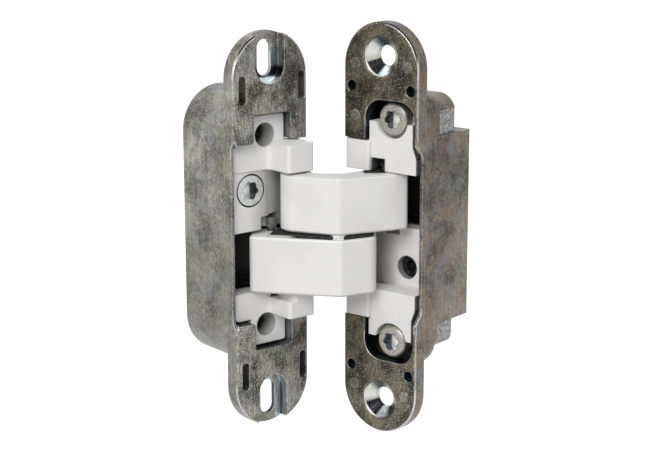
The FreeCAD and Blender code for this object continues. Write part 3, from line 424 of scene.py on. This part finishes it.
def millSlots(tree, at, tone, grain):
    streak = ramp(tree, grain["streak"], frameSlots["streak"])
    hole = ramp(tree, at["y"], frameSlots["hole"])
    high = blendColour(tree, streak, upperSlot["dark"], upperSlot["light"])
    shadow = band(tree, at["z"], upperSlot["shadow"], upperSlot["shadowSoft"])
    high = blendColour(tree, shadow, high, frameSlots["shadow"])
    lip = ramp(tree, at["z"], upperSlot["lip"], (upperSlot["lipShare"], 0.0))
    high = blendColour(tree, lip, high, frameSlots["lip"])
    high = blendColour(tree, allOf(tree, hole, upperSlot["holeShare"]), high, frameSlots["lip"])
    high = blendColour(tree, ramp(tree, at["z"], upperSlot["fade"]), high, tone)

    low = blendColour(tree, streak, lowerSlot["dark"], lowerSlot["light"])
    corner = allOf(tree, ramp(tree, at["x"], lowerSlot["cornerAcross"]),
                   ramp(tree, at["y"], lowerSlot["cornerDepth"]))
    low = blendColour(tree, corner, low, frameSlots["shadow"])
    plain = allOf(tree, ramp(tree, at["z"], lowerSlot["plainHeight"]),
                  ramp(tree, at["x"], lowerSlot["plainAcross"]))
    low = blendColour(tree, plain, low, tone)
    low = blendColour(tree, allOf(tree, hole, lowerSlot["holeShare"]), low, frameSlots["shadow"])
    return blendColour(tree, ramp(tree, at["z"], frameSlots["middle"]), low, high)


# Painted shade on the window's walls, painted lighter on one side
frameWindow = {
    "dark": colour(0.030, 0.040, 0.046), "light": colour(0.200, 0.228, 0.240),
    "height": (31.85, 32.10), "depth": (4.1, 4.3), "share": 0.9,
    "paleAcross": (3.0, 5.0), "paleTint": (0.38, 0.55), "paleShares": (0.35, 1.0),
}


def millFrame(tree, at, tone, grain, edge):
    below = ramp(tree, at["y"], frameSlots["depth"])
    slot = allOf(tree, below, ramp(tree, at["y"], plateBack, fadeOut),
                 ramp(tree, at["absX"], frameSlots["across"], fadeOut),
                 ramp(tree, at["absZ"], frameSlots["height"]))
    tone = blendColour(tree, slot, tone, millSlots(tree, at, tone, grain))
    wall = allOf(tree, below, ramp(tree, at["absZ"], frameWindow["height"], fadeOut),
                 ramp(tree, at["absX"], windowAcross, fadeOut),
                 ramp(tree, at["y"], frameWindow["depth"], fadeOut), frameWindow["share"])
    pale = allOf(tree, ramp(tree, at["x"], frameWindow["paleAcross"]),
                 ramp(tree, grain["tint"], frameWindow["paleTint"], frameWindow["paleShares"]))
    wallTone = blendColour(tree, pale, frameWindow["dark"], frameWindow["light"])
    return blendColour(tree, wall, tone, wallTone), slot


# The door plate's arched window has walls painted dark as shade, with a bright line along its front edge

doorWindow = {
    "dark": colour(0.010, 0.012, 0.014), "light": colour(0.075, 0.090, 0.100), "tint": (0.50, 0.62),
    "height": (35.6, 35.8), "depth": (0.3, 4.2), "depthSoft": 0.08,
    "line": colour(0.66, 0.64, 0.58), "lineEdge": (0.02, 0.12), "lineDepth": (0.2, 0.4),
    "lineHeight": (28.0, 35.6), "lineSoft": 0.4, "lineMottle": (0.36, 0.52), "lineShares": (0.25, 0.90),
}


def millWindow(tree, at, tone, grain, edge):
    across = ramp(tree, at["absX"], windowAcross, fadeOut)
    wall = allOf(tree, across, ramp(tree, at["absZ"], doorWindow["height"], fadeOut),
                 band(tree, at["y"], doorWindow["depth"], doorWindow["depthSoft"]))
    tint = ramp(tree, grain["tint"], doorWindow["tint"])
    tone = blendColour(tree, wall, tone, blendColour(tree, tint, doorWindow["dark"], doorWindow["light"]))
    line = allOf(tree, ramp(tree, edge, doorWindow["lineEdge"]),
                 ramp(tree, at["y"], doorWindow["lineDepth"], fadeOut),
                 band(tree, at["absZ"], doorWindow["lineHeight"], doorWindow["lineSoft"]), across,
                 ramp(tree, grain["mottle"], doorWindow["lineMottle"], doorWindow["lineShares"]))
    return blendColour(tree, line, tone, doorWindow["line"])


# Worn patches on the door casing's boss, and painted shade along the step where it meets the deep block
doorBoss = {
    "pale": colour(0.420, 0.450, 0.470), "across": (10.65, 10.75), "depth": (10.2, 10.4),
    "height": (25.5, 32.1), "heightSoft": 0.1, "mottle": (0.42, 0.60), "shares": (0.10, 0.80),
    "seam": colour(0.030, 0.040, 0.044), "seamDepth": (10.4, 20.0), "seamDepthSoft": 0.3,
    "seamHeight": (25.50, 25.75), "seamHeightSoft": 0.06, "seamShare": 0.75,
}


def wearAndShadeBoss(tree, at, tone, grain):
    patch = allOf(tree, ramp(tree, at["x"], doorBoss["across"]), ramp(tree, at["y"], doorBoss["depth"]),
                  band(tree, at["absZ"], doorBoss["height"], doorBoss["heightSoft"]),
                  ramp(tree, grain["mottle"], doorBoss["mottle"], doorBoss["shares"]))
    tone = blendColour(tree, patch, tone, doorBoss["pale"])
    seam = allOf(tree, band(tree, at["y"], doorBoss["seamDepth"], doorBoss["seamDepthSoft"]),
                 band(tree, at["absZ"], doorBoss["seamHeight"], doorBoss["seamHeightSoft"]),
                 doorBoss["seamShare"])
    return blendColour(tree, seam, tone, doorBoss["seam"])


# Turned countersinks, painted in sectors by share of a full turn with the bright and dark reflections of a
# turned cone, and with a painted highlight ring on the lower left
doorSinks = {
    "height": 46.5, "depth": (0.02, 0.10), "cone": (4.95, 5.10),
    "band": colour(0.115, 0.104, 0.078), "bandFrom": (5.0, 5.1), "bandTo": (5.6, 5.7), "bandShare": 0.6,
    "ring": colour(0.62, 0.62, 0.59), "ringReach": (5.05, 5.30), "ringSoft": 0.08, "ringShare": 0.85,
    "ringUpward": 0.8, "ringSide": (-1.5, -4.0), "grit": (0.58, 0.70), "gritShare": 0.30,
    "sectors": [
        (0.0, colour(0.56, 0.57, 0.53)), (0.04, colour(0.46, 0.47, 0.44)),
        (0.065, colour(0.004, 0.004, 0.005)), (0.20, colour(0.005, 0.005, 0.006)),
        (0.235, colour(0.72, 0.82, 0.84)), (0.295, colour(0.62, 0.69, 0.69)),
        (0.345, colour(0.115, 0.104, 0.078)), (0.60, colour(0.070, 0.068, 0.054)),
        (0.68, colour(0.022, 0.034, 0.038)), (0.77, colour(0.060, 0.085, 0.092)),
        (0.83, colour(0.27, 0.31, 0.36)), (0.89, colour(0.50, 0.51, 0.48)), (1.0, colour(0.56, 0.57, 0.53)),
    ],
}


def millSinks(tree, at, tone, grain, before):
    upward = calc(tree, "SUBTRACT", at["absZ"], doorSinks["height"])
    upward = calc(tree, "MULTIPLY", upward, calc(tree, "SIGN", at["z"]))
    reach = length2d(tree, at["x"], upward)
    dished = allOf(tree, before, ramp(tree, at["y"], doorSinks["depth"]))
    plainBand = allOf(tree, dished, ramp(tree, reach, doorSinks["bandFrom"]),
                      ramp(tree, reach, doorSinks["bandTo"], fadeOut), doorSinks["bandShare"])
    tone = blendColour(tree, plainBand, tone, doorSinks["band"])
    sink = allOf(tree, dished, ramp(tree, reach, doorSinks["cone"], fadeOut))
    turned = spectrum(tree, turnShare(tree, at["x"], upward), doorSinks["sectors"])
    scuffed = ramp(tree, grain["grit"], doorSinks["grit"], (0.0, doorSinks["gritShare"]))
    tone = blendColour(tree, sink, tone, blendColour(tree, scuffed, turned, doorSinks["ring"]))
    lowerLeft = calc(tree, "ADD", at["x"], calc(tree, "MULTIPLY", upward, doorSinks["ringUpward"]))
    ring = allOf(tree, band(tree, reach, doorSinks["ringReach"], doorSinks["ringSoft"]), before,
                 ramp(tree, lowerLeft, doorSinks["ringSide"], (0.0, doorSinks["ringShare"])))
    return blendColour(tree, ring, tone, doorSinks["ring"]), sink


# Drilled clip holes near the plate's long edges, painted dark inside as shade, flecked with teal
doorClips = {
    "middle": 0.1, "across": 9.5, "height": 38.2, "radius": (1.5, 1.7), "depth": (0.3, 0.9),
    "dark": colour(0.010, 0.018, 0.022), "light": colour(0.10, 0.19, 0.21), "grit": (0.50, 0.62),
}


def drillClips(tree, at, tone, grain, before):
    sideways = calc(tree, "ABSOLUTE", calc(tree, "SUBTRACT", at["x"], doorClips["middle"]))
    reach = length2d(tree, calc(tree, "SUBTRACT", sideways, doorClips["across"]),
                     calc(tree, "SUBTRACT", at["absZ"], doorClips["height"]))
    clip = allOf(tree, ramp(tree, reach, doorClips["radius"], fadeOut), before,
                 ramp(tree, at["y"], doorClips["depth"]))
    grit = ramp(tree, grain["grit"], doorClips["grit"])
    return blendColour(tree, clip, tone, blendColour(tree, grit, doorClips["dark"], doorClips["light"]))


def millDoor(tree, at, tone, grain, edge):
    before = ramp(tree, at["y"], plateBack, fadeOut)
    tone = millWindow(tree, at, tone, grain, edge)
    tone = wearAndShadeBoss(tree, at, tone, grain)
    tone, sink = millSinks(tree, at, tone, grain, before)
    return drillClips(tree, at, tone, grain, before), sink


# Satin white powder coat on the arms and inserts

whiteCoat = {
    "white": colour(0.86, 0.855, 0.845), "shade": colour(0.80, 0.795, 0.785),
    "dark": colour(0.012, 0.012, 0.012),
    "cloud": {"scale": 0.06, "detail": 3.0}, "cloudSpan": (0.40, 0.65),
    "peel": {"scale": 1.1, "detail": 2.0}, "peelSpan": (0.3, 0.7),
    "bump": {"strength": 0.12, "depth": 0.03},
    "edgeRadius": 0.45,
    "roughness": (0.34, 0.46),
    "gloss": 0.5,
    "soft": 0.10, "depthSoft": 0.15, "earShadowSoft": 0.30,
}

# Painted shade on each piece's coat: deep inside, inside holes, in corners and on tops, and a painted shadow
# on the upper arm

sideScrew = {"x": -4.6, "z": 11.3}  # the screw's place on the frame leaf
tabHole = {"x": -0.1, "radius": 3.3, "depth": 2.75, "share": 0.40}
frameInsertCoat = {
    "deepShade": (7.0, 9.0),
    "holes": [
        {**sideScrew, "radius": 4.65, "depth": 3.0, "share": 0.80},
        {**tabHole, "z": 25.8},
        {**tabHole, "z": -25.8},
    ],
    "corners": [
        {"x": (-12.0, 1.6), "z": (0.0, 16.4), "depth": (2.5, 3.3), "fade": (-7.0, 0.8), "share": 0.42},
        {"x": (1.3, 12.0), "z": (0.0, 16.6), "depth": (3.2, 6.2), "fade": (2.2, 6.8), "share": 0.72},
    ],
}

# Painted shadow: dark strips down one side of the door insert, next to the window
narrowStrip = {"x": (10.35, 11.5), "depth": (1.6, 14.0), "fade": (10.2, 10.4), "share": 0.85}
wideStrip = {**narrowStrip, "x": (9.25, 11.5), "fade": (9.2, 9.35)}
# Painted shade on the door insert: deep inside, in its set screw's hole, on its recessed middle wall and in
# its upper notch
doorInsertCoat = {
    "deepShade": (13.0, 15.0),
    "holes": [{"x": 2.3, "z": -11.2, "radius": 3.3, "depth": 9.5, "share": 0.6}],
    "corners": [
        {"x": (-12.0, 1.0), "z": (-17.0, -0.2), "depth": (6.8, 9.8), "fade": (1.0, -6.0), "share": 0.62},
        {"x": (-6.6, 0.6), "z": (15.5, 19.45), "depth": (1.3, 8.2), "fade": (0.7, 0.6), "share": 0.90},
        {**narrowStrip, "z": (15.7, 31.0)},
        {**narrowStrip, "z": (-31.0, -15.9)},
        {**wideStrip, "z": (20.2, 31.0)},
        {**wideStrip, "z": (-31.0, -20.2)},
    ],
}

# Painted shade on the upper arm's top, and a painted shadow of the door insert's ear where it runs over it
upperArmCoat = {
    "tops": [
        {"above": 15.6, "share": 0.27},
        {"above": 15.6, "share": 0.97, "earShadow": {"along": (-4.3, 1.7), "inward": (-0.2, 9.0)}},
    ],
}
# Painted shade on the lower arm's top
lowerArmCoat = {"tops": [{"above": -0.8, "share": 0.15}]}


def holeShade(tree, at, hole):
    reach = length2d(tree, calc(tree, "SUBTRACT", at["x"], hole["x"]),
                     calc(tree, "SUBTRACT", at["z"], hole["z"]))
    depth = hole["depth"]
    return allOf(tree, ramp(tree, reach, (hole["radius"] - whiteCoat["soft"], hole["radius"]), fadeOut),
                 ramp(tree, at["y"], (depth, depth + whiteCoat["depthSoft"]), (0.0, hole["share"])))


def cornerShade(tree, at, corner):
    return allOf(tree, ramp(tree, at["x"], corner["fade"], (0.0, corner["share"])),
                 band(tree, at["x"], corner["x"], whiteCoat["soft"]),
                 band(tree, at["z"], corner["z"], whiteCoat["soft"]),
                 band(tree, at["y"], corner["depth"], whiteCoat["depthSoft"]))


def topShade(tree, at, top):
    height = top["above"]
    shade = ramp(tree, at["z"], (height - whiteCoat["soft"], height), (0.0, top["share"]))
    earShadow = top.get("earShadow")
    if earShadow:
        slant = math.sqrt(0.5)  # the painted shadow lies at 45 degrees to the leaf
        along = calc(tree, "MULTIPLY", calc(tree, "ADD", at["x"], at["y"]), slant)
        inward = calc(tree, "MULTIPLY", calc(tree, "SUBTRACT", at["y"], at["x"]), slant)
        shade = allOf(tree, band(tree, along, earShadow["along"], whiteCoat["earShadowSoft"]),
                      band(tree, inward, earShadow["inward"], whiteCoat["earShadowSoft"]), shade)
    return shade


def makeWhite(name, leaf, coat):
    material, tree, shader = newMaterial(name)
    at = leafPlace(tree, leaf)
    cloud = ramp(tree, noise(tree, at["place"], **whiteCoat["cloud"]), whiteCoat["cloudSpan"])
    peel = noise(tree, at["place"], **whiteCoat["peel"])
    tone = blendColour(tree, cloud, whiteCoat["white"], whiteCoat["shade"])
    # Holes, corners, tops and deep insides are painted dark as shade
    for hole in coat.get("holes", []):
        tone = blendColour(tree, holeShade(tree, at, hole), tone, whiteCoat["dark"])
    shades = [cornerShade(tree, at, corner) for corner in coat.get("corners", [])]
    shades += [topShade(tree, at, top) for top in coat.get("tops", [])]
    dimmed = 0.0
    for shade in shades:
        tone = blendColour(tree, shade, tone, whiteCoat["dark"])
        dimmed = calc(tree, "MAXIMUM", dimmed, shade)
    if "deepShade" in coat:
        tone = blendColour(tree, ramp(tree, at["y"], coat["deepShade"]), tone, whiteCoat["dark"])
    tree.links.new(tone, shader.inputs["Base Color"])
    rough = ramp(tree, peel, whiteCoat["peelSpan"], whiteCoat["roughness"])
    tree.links.new(rough, shader.inputs["Roughness"])
    # Painted shade and shadow give back no glare
    glare = calc(tree, "MULTIPLY", calc(tree, "SUBTRACT", 1.0, dimmed), whiteCoat["gloss"])
    tree.links.new(glare, shader.inputs["Specular IOR Level"])
    bumpInto(tree, shader, peel, roundedNormal(tree, whiteCoat["edgeRadius"]), whiteCoat["bump"])
    return material


# Plated, blackened, bronze and plastic small pieces

smallGrain = {
    "detail": 3.0, "tone": (0.35, 0.65), "rough": (0.3, 0.7), "gloss": 0.5,
    "edgeRadius": 0.2, "wornEdge": (0.03, 0.30), "wornShare": 0.5,
}

smallFinishes = {
    "brightZinc": {"low": colour(0.58, 0.58, 0.56), "high": colour(0.80, 0.80, 0.78), "metal": 1.0,
                   "roughness": (0.22, 0.40), "scale": 0.7},
    "blackOxide": {"low": colour(0.012, 0.012, 0.013), "high": colour(0.040, 0.040, 0.042), "metal": 0.6,
                   "roughness": (0.30, 0.48), "scale": 0.9},
    "turnedBronze": {"low": colour(0.36, 0.24, 0.10), "high": colour(0.55, 0.40, 0.20), "metal": 1.0,
                     "roughness": (0.25, 0.42), "scale": 0.6},
    "slidePlastic": {"low": colour(0.012, 0.012, 0.012), "high": colour(0.035, 0.035, 0.035), "metal": 0.0,
                     "roughness": (0.45, 0.60), "scale": 0.8, "gloss": 0.2},
    "greyPlastic": {"low": colour(0.115, 0.115, 0.112), "high": colour(0.165, 0.165, 0.160), "metal": 0.0,
                    "roughness": (0.40, 0.55), "scale": 0.8},
    "dullSteel": {"low": colour(0.070, 0.070, 0.070), "high": colour(0.120, 0.120, 0.120), "metal": 0.7,
                  "roughness": (0.40, 0.55), "scale": 0.8},
    "warmNickel": {"low": colour(0.285, 0.272, 0.235), "high": colour(0.500, 0.480, 0.430), "metal": 0.7,
                   "roughness": (0.36, 0.52), "scale": 1.9},
    "satinNickel": {"low": colour(0.500, 0.515, 0.495), "high": colour(0.690, 0.705, 0.685), "metal": 0.7,
                    "roughness": (0.36, 0.52), "scale": 1.9},
}

# Painted light: one end of the black spacer is painted pale, as if lit
smallFinishes["spacerPlastic"] = {
    **smallFinishes["slidePlastic"],
    "litPatch": {"x": (2.6, 0.6), "z": (0.05, -0.15), "tone": colour(0.52, 0.515, 0.505)},
}

# Painted shade and light: a screw's socket is painted dark on one side and bright on the other, with a
# painted dark outline
clampSocket = {"leaf": doorLeaf, "x": 2.7, "front": 1.6, "darkSide": -1.0, "finish": "warmNickel"}
screwSockets = {
    "frame_side_screw": {**sideScrew, "leaf": frameLeaf, "front": 2.9, "darkSide": 1.0,
                         "finish": "satinNickel"},
    "door_clamp_screw_upper": {**clampSocket, "z": 30.1},
    "door_clamp_screw_lower": {**clampSocket, "z": -30.1},
}
socketLook = {
    "radius": (2.6, 2.7), "mouth": (0.03, 0.12), "bottom": (2.05, 2.15), "edgeRadius": 0.35,
    "wallDark": colour(0.022, 0.032, 0.034), "wallLight": colour(0.130, 0.165, 0.170),
    "wallGrain": (0.48, 0.62), "wallShade": (-0.3, 0.2),
    "floorDim": colour(0.60, 0.61, 0.61), "floorBright": colour(0.95, 0.94, 0.92),
    "floorHeight": (1.6, -0.2), "floorShade": (1.0, 1.5), "floorShare": 0.9,
    "outlineEdge": (0.02, 0.20), "outlineShare": 0.9, "outlineReach": (2.7, 2.9),
}


def paintSocket(tree, at, tone, grain, edge, socket):
    across = calc(tree, "SUBTRACT", at["x"], socket["x"])
    upward = calc(tree, "SUBTRACT", at["z"], socket["z"])
    depth = calc(tree, "SUBTRACT", at["y"], socket["front"])
    reach = length2d(tree, across, upward)
    darkward = calc(tree, "MULTIPLY", across, socket["darkSide"])
    grained = ramp(tree, grain, socketLook["wallGrain"])
    wallTone = blendColour(tree, grained, socketLook["wallDark"], socketLook["wallLight"])
    shaded = ramp(tree, darkward, socketLook["wallShade"])
    wallTone = blendColour(tree, shaded, socketLook["floorBright"], wallTone)
    lit = ramp(tree, upward, socketLook["floorHeight"])
    floorTone = blendColour(tree, lit, socketLook["floorDim"], socketLook["floorBright"])
    floorShade = ramp(tree, darkward, socketLook["floorShade"], (0.0, socketLook["floorShare"]))
    floorTone = blendColour(tree, floorShade, floorTone, socketLook["wallDark"])
    wellTone = blendColour(tree, ramp(tree, depth, socketLook["bottom"]), wallTone, floorTone)
    outline = allOf(tree, ramp(tree, edge, socketLook["outlineEdge"], (0.0, socketLook["outlineShare"])),
                    ramp(tree, reach, socketLook["outlineReach"], fadeOut))
    tone = blendColour(tree, outline, tone, socketLook["wallDark"])
    well = allOf(tree, ramp(tree, reach, socketLook["radius"], fadeOut),
                 ramp(tree, depth, socketLook["mouth"]))
    return blendColour(tree, well, tone, wellTone)


def makeSmall(name, finish, socket=None):
    material, tree, shader = newMaterial(name)
    at = leafPlace(tree, socket["leaf"] if socket else frameLeaf)
    grain = noise(tree, at["place"], finish["scale"], smallGrain["detail"])
    rounded = roundedNormal(tree, socketLook["edgeRadius"] if socket else smallGrain["edgeRadius"])
    edge = edgeMask(tree, rounded)
    tone = blendColour(tree, ramp(tree, grain, smallGrain["tone"]), finish["low"], finish["high"])
    worn = ramp(tree, edge, smallGrain["wornEdge"], (0.0, smallGrain["wornShare"]))
    tone = blendColour(tree, worn, tone, finish["high"])
    # a patch of painted light on the spacer
    litPatch = finish.get("litPatch")
    if litPatch:
        litArea = allOf(tree, ramp(tree, at["x"], litPatch["x"]), ramp(tree, at["z"], litPatch["z"]))
        tone = blendColour(tree, litArea, tone, litPatch["tone"])
    if socket:
        tone = paintSocket(tree, at, tone, grain, edge, socket)
    tree.links.new(tone, shader.inputs["Base Color"])
    tree.links.new(ramp(tree, grain, smallGrain["rough"], finish["roughness"]), shader.inputs["Roughness"])
    shader.inputs["Metallic"].default_value = finish["metal"]
    shader.inputs["Specular IOR Level"].default_value = finish.get("gloss", smallGrain["gloss"])
    tree.links.new(rounded, shader.inputs["Normal"])
    return material


# Which finish goes on which node

slotFinish = {"bright_zinc": "brightZinc", "black_steel": "blackOxide", "bronze": "turnedBronze",
              "slide_plastic": "slidePlastic"}
ownFinish = {"frame_slide_sleeve_upper": "greyPlastic", "frame_slide_pin": "dullSteel",
             "centre_spacer": "spacerPlastic", "centre_washer": "satinNickel"}


def dress(node, material):
    slots = nodes[node].data.materials
    slots.clear()
    slots.append(material)


small = {name: makeSmall(name, finish) for name, finish in smallFinishes.items()}
for subpart in frame["record"]["subparts"]:
    finishName = ownFinish.get(subpart["node"], slotFinish.get(subpart["material_slot"]))
    if finishName:
        dress(subpart["node"], small[finishName])
for screwNode, screwSocket in screwSockets.items():
    dress(screwNode, makeSmall(screwNode + "Nickel", smallFinishes[screwSocket["finish"]], screwSocket))
dress("frame_casing", makeZinc("frameZinc", frameLeaf, frameZinc, millFrame))
dress("door_casing", makeZinc("doorZinc", doorLeaf, doorZinc, millDoor))
dress("frame_insert", makeWhite("frameInsertWhite", frameLeaf, frameInsertCoat))
dress("door_insert", makeWhite("doorInsertWhite", doorLeaf, doorInsertCoat))
dress("upper_arm", makeWhite("upperArmWhite", doorLeaf, upperArmCoat))
dress("lower_arm", makeWhite("lowerArmWhite", frameLeaf, lowerArmCoat))
print("finishes on", len(nodes), "nodes")


# Ejector marks on the plates' front faces, as (x, z) in each leaf

ejectorMarks = {
    "radius": 1.5, "thickness": 0.06, "proud": 0.02, "sides": 24,
    "pale": {"faceDark": colour(0.060, 0.057, 0.046), "faceLight": colour(0.330, 0.315, 0.275)},
    "frame": [(-8.06, 25.93), (9.24, 26.0), (-7.86, -26.2), (-6.76, -45.4), (7.81, -46.0)],
    "door": [(-8.17, 44.2), (8.39, 44.27), (-8.2, 30.5), (-8.24, -43.4), (8.40, -44.0)],
}


def makeMarkTree():
    tree = bpy.data.node_groups.new("ejectorMarks", "GeometryNodeTree")
    tree.interface.new_socket("Centres", in_out="INPUT", socket_type="NodeSocketGeometry")
    for inputName in ("Mark Radius", "Mark Thickness", "Leaf Turn"):
        tree.interface.new_socket(inputName, in_out="INPUT", socket_type="NodeSocketFloat")
    tree.interface.new_socket("Finish", in_out="INPUT", socket_type="NodeSocketMaterial")
    tree.interface.new_socket("Marks", in_out="OUTPUT", socket_type="NodeSocketGeometry")
    given = addNode(tree, "NodeGroupInput")
    result = addNode(tree, "NodeGroupOutput")
    disc = addNode(tree, "GeometryNodeMeshCylinder")
    disc.inputs["Vertices"].default_value = ejectorMarks["sides"]
    tree.links.new(given.outputs["Mark Radius"], disc.inputs["Radius"])
    tree.links.new(given.outputs["Mark Thickness"], disc.inputs["Depth"])
    angles = addNode(tree, "ShaderNodeCombineXYZ")
    angles.inputs["X"].default_value = math.radians(90.0)  # the disc's axis goes into the plate
    tree.links.new(given.outputs["Leaf Turn"], angles.inputs["Z"])
    facing = addNode(tree, "FunctionNodeEulerToRotation")
    tree.links.new(angles.outputs[0], facing.inputs[0])
    scatter = addNode(tree, "GeometryNodeInstanceOnPoints")
    tree.links.new(given.outputs["Centres"], scatter.inputs["Points"])
    tree.links.new(disc.outputs["Mesh"], scatter.inputs["Instance"])
    tree.links.new(facing.outputs[0], scatter.inputs["Rotation"])
    solid = addNode(tree, "GeometryNodeRealizeInstances")
    tree.links.new(scatter.outputs["Instances"], solid.inputs["Geometry"])
    painted = addNode(tree, "GeometryNodeSetMaterial")
    tree.links.new(solid.outputs["Geometry"], painted.inputs["Geometry"])
    tree.links.new(given.outputs["Finish"], painted.inputs["Material"])
    tree.links.new(painted.outputs["Geometry"], result.inputs["Marks"])
    return tree


def makeMarks(name, tree, leaf, spots, body, material):
    turn = math.radians(leaf["turn"])
    depth = ejectorMarks["thickness"] / 2 - ejectorMarks["proud"]
    centres = []
    for across, upward in spots:
        x = leaf["centre"][0] + across * math.cos(turn) - depth * math.sin(turn)
        y = leaf["centre"][1] + across * math.sin(turn) + depth * math.cos(turn)
        centres.append((x * millimetre, y * millimetre, upward * millimetre))
    mesh = bpy.data.meshes.new(name)
    mesh.from_pydata(centres, [], [])
    marks = bpy.data.objects.new(name, mesh)
    bpy.context.scene.collection.objects.link(marks)
    modifier = marks.modifiers.new("marks", "NODES")
    modifier.node_group = tree
    settings = {"Mark Radius": ejectorMarks["radius"] * millimetre,
                "Mark Thickness": ejectorMarks["thickness"] * millimetre,
                "Leaf Turn": turn, "Finish": material}
    for item in tree.interface.items_tree:
        if item.in_out == "INPUT" and item.name in settings:
            modifier[item.identifier] = settings[item.name]
    evaluated = marks.evaluated_get(bpy.context.evaluated_depsgraph_get())
    plain = bpy.data.meshes.new_from_object(evaluated)
    marks.modifiers.clear()
    marks.data = plain
    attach(marks, body)
    print(name, len(plain.polygons), "faces")


markTree = makeMarkTree()
frameMarkZinc = makeZinc("frameMarkZinc", frameLeaf, {**frameZinc, **ejectorMarks["pale"]}, millFrame)
doorMarkZinc = makeZinc("doorMarkZinc", doorLeaf, {**doorZinc, **ejectorMarks["pale"]}, millDoor)
makeMarks("frameEjectorMarks", markTree, frameLeaf, ejectorMarks["frame"], "frame_half", frameMarkZinc)
makeMarks("doorEjectorMarks", markTree, doorLeaf, ejectorMarks["door"], "door_half", doorMarkZinc)


# Floor, light and camera

studio = {
    "floorDrop": 130.0,  # mm below the part
    "floorSize": 6.0,  # in metres, like the lamps' distances and sizes
    "floorTone": colour(0.62, 0.62, 0.62), "floorGlow": 0.95,
    "backdrop": colour(1.0, 1.0, 1.0), "worldLight": 0.29,
    "lamps": [
        {"name": "keyLamp", "azimuth": 18.0, "height": 35.0, "distance": 0.9, "size": 0.5, "power": 5.2},
        {"name": "fillLamp", "azimuth": -50.0, "height": 25.0, "distance": 0.9, "size": 0.6, "power": 0.5},
        {"name": "topLamp", "azimuth": 0.0, "height": 85.0, "distance": 0.9, "size": 0.6, "power": 2.0},
    ],
}

# The camera as fitted to the photo, in mm and degrees, with its shift in shares of the picture's width
photoView = {
    "azimuth": 38.85,
    "elevation": 13.013,
    "target": (12.955, -13.299, 3.193),
    "distance": 445.17,
    "lens": 93.99,
    "sensor": 36.0,
    "shift": (-0.02549, -0.00413),
    "nearest": 10.0,
}


# Direction from the target to a lamp or the camera at these angles
def towards(azimuth, elevation):
    turn = math.radians(azimuth)
    rise = math.radians(elevation)
    return Vector((-math.sin(turn) * math.cos(rise), -math.cos(turn) * math.cos(rise), math.sin(rise)))


def aim(thing, place, target):
    thing.location = place
    thing.rotation_euler = (target - place).to_track_quat("-Z", "Y").to_euler()


# White to the camera, to mirrors and through glass, and plain light to everything else
def seenDirectly(tree):
    light = addNode(tree, "ShaderNodeLightPath")
    seen = calc(tree, "ADD", light.outputs["Is Camera Ray"], light.outputs["Is Glossy Ray"], clamp=True)
    return calc(tree, "ADD", seen, light.outputs["Is Transmission Ray"], clamp=True)


def makeFloor():
    half = studio["floorSize"] / 2
    height = cadBox[0][2] - studio["floorDrop"] * millimetre
    mesh = bpy.data.meshes.new("floor")
    corners = [(-half, -half, height), (half, -half, height), (half, half, height), (-half, half, height)]
    mesh.from_pydata(corners, [], [(0, 1, 2, 3)])
    floor = bpy.data.objects.new("floor", mesh)
    bpy.context.scene.collection.objects.link(floor)
    material = bpy.data.materials.new("paleFloor")
    material.use_nodes = True
    tree = material.node_tree
    tree.nodes.clear()
    output = addNode(tree, "ShaderNodeOutputMaterial")
    matte = addNode(tree, "ShaderNodeBsdfDiffuse")
    matte.inputs["Color"].default_value = studio["floorTone"]
    glow = addNode(tree, "ShaderNodeEmission")
    tree.links.new(calc(tree, "MULTIPLY", seenDirectly(tree), studio["floorGlow"]), glow.inputs["Strength"])
    both = addNode(tree, "ShaderNodeAddShader")
    tree.links.new(matte.outputs[0], both.inputs[0])
    tree.links.new(glow.outputs[0], both.inputs[1])
    tree.links.new(both.outputs[0], output.inputs["Surface"])
    mesh.materials.append(material)


def makeWorld():
    world = bpy.data.worlds.new("studioWorld")
    world.use_nodes = True
    tree = world.node_tree
    tree.nodes.clear()
    output = addNode(tree, "ShaderNodeOutputWorld")
    backdrop = addNode(tree, "ShaderNodeBackground")
    backdrop.inputs["Color"].default_value = studio["backdrop"]
    strength = ramp(tree, seenDirectly(tree), (0.0, 1.0), (studio["worldLight"], 1.0))
    tree.links.new(strength, backdrop.inputs["Strength"])
    tree.links.new(backdrop.outputs[0], output.inputs["Surface"])
    bpy.context.scene.world = world


def makeLamps():
    centre = Vector(photoView["target"]) * millimetre
    for lamp in studio["lamps"]:
        data = bpy.data.lights.new(lamp["name"], "AREA")
        data.energy = lamp["power"]
        data.size = lamp["size"]
        thing = bpy.data.objects.new(lamp["name"], data)
        bpy.context.scene.collection.objects.link(thing)
        side = towards(photoView["azimuth"] + lamp["azimuth"], lamp["height"])
        aim(thing, centre + side * lamp["distance"], centre)


def makeCamera():
    data = bpy.data.cameras.new("photoCamera")
    data.sensor_fit = "HORIZONTAL"
    data.sensor_width = photoView["sensor"]
    data.lens = photoView["lens"]
    data.shift_x, data.shift_y = photoView["shift"]
    data.clip_start = photoView["nearest"] * millimetre
    camera = bpy.data.objects.new("photoCamera", data)
    bpy.context.scene.collection.objects.link(camera)
    target = Vector(photoView["target"]) * millimetre
    side = towards(photoView["azimuth"], photoView["elevation"])
    aim(camera, target + side * photoView["distance"] * millimetre, target)
    bpy.context.scene.camera = camera


makeFloor()
makeWorld()
makeLamps()
makeCamera()
bpy.context.scene.view_settings.view_transform = "Standard"
print("studio ready")
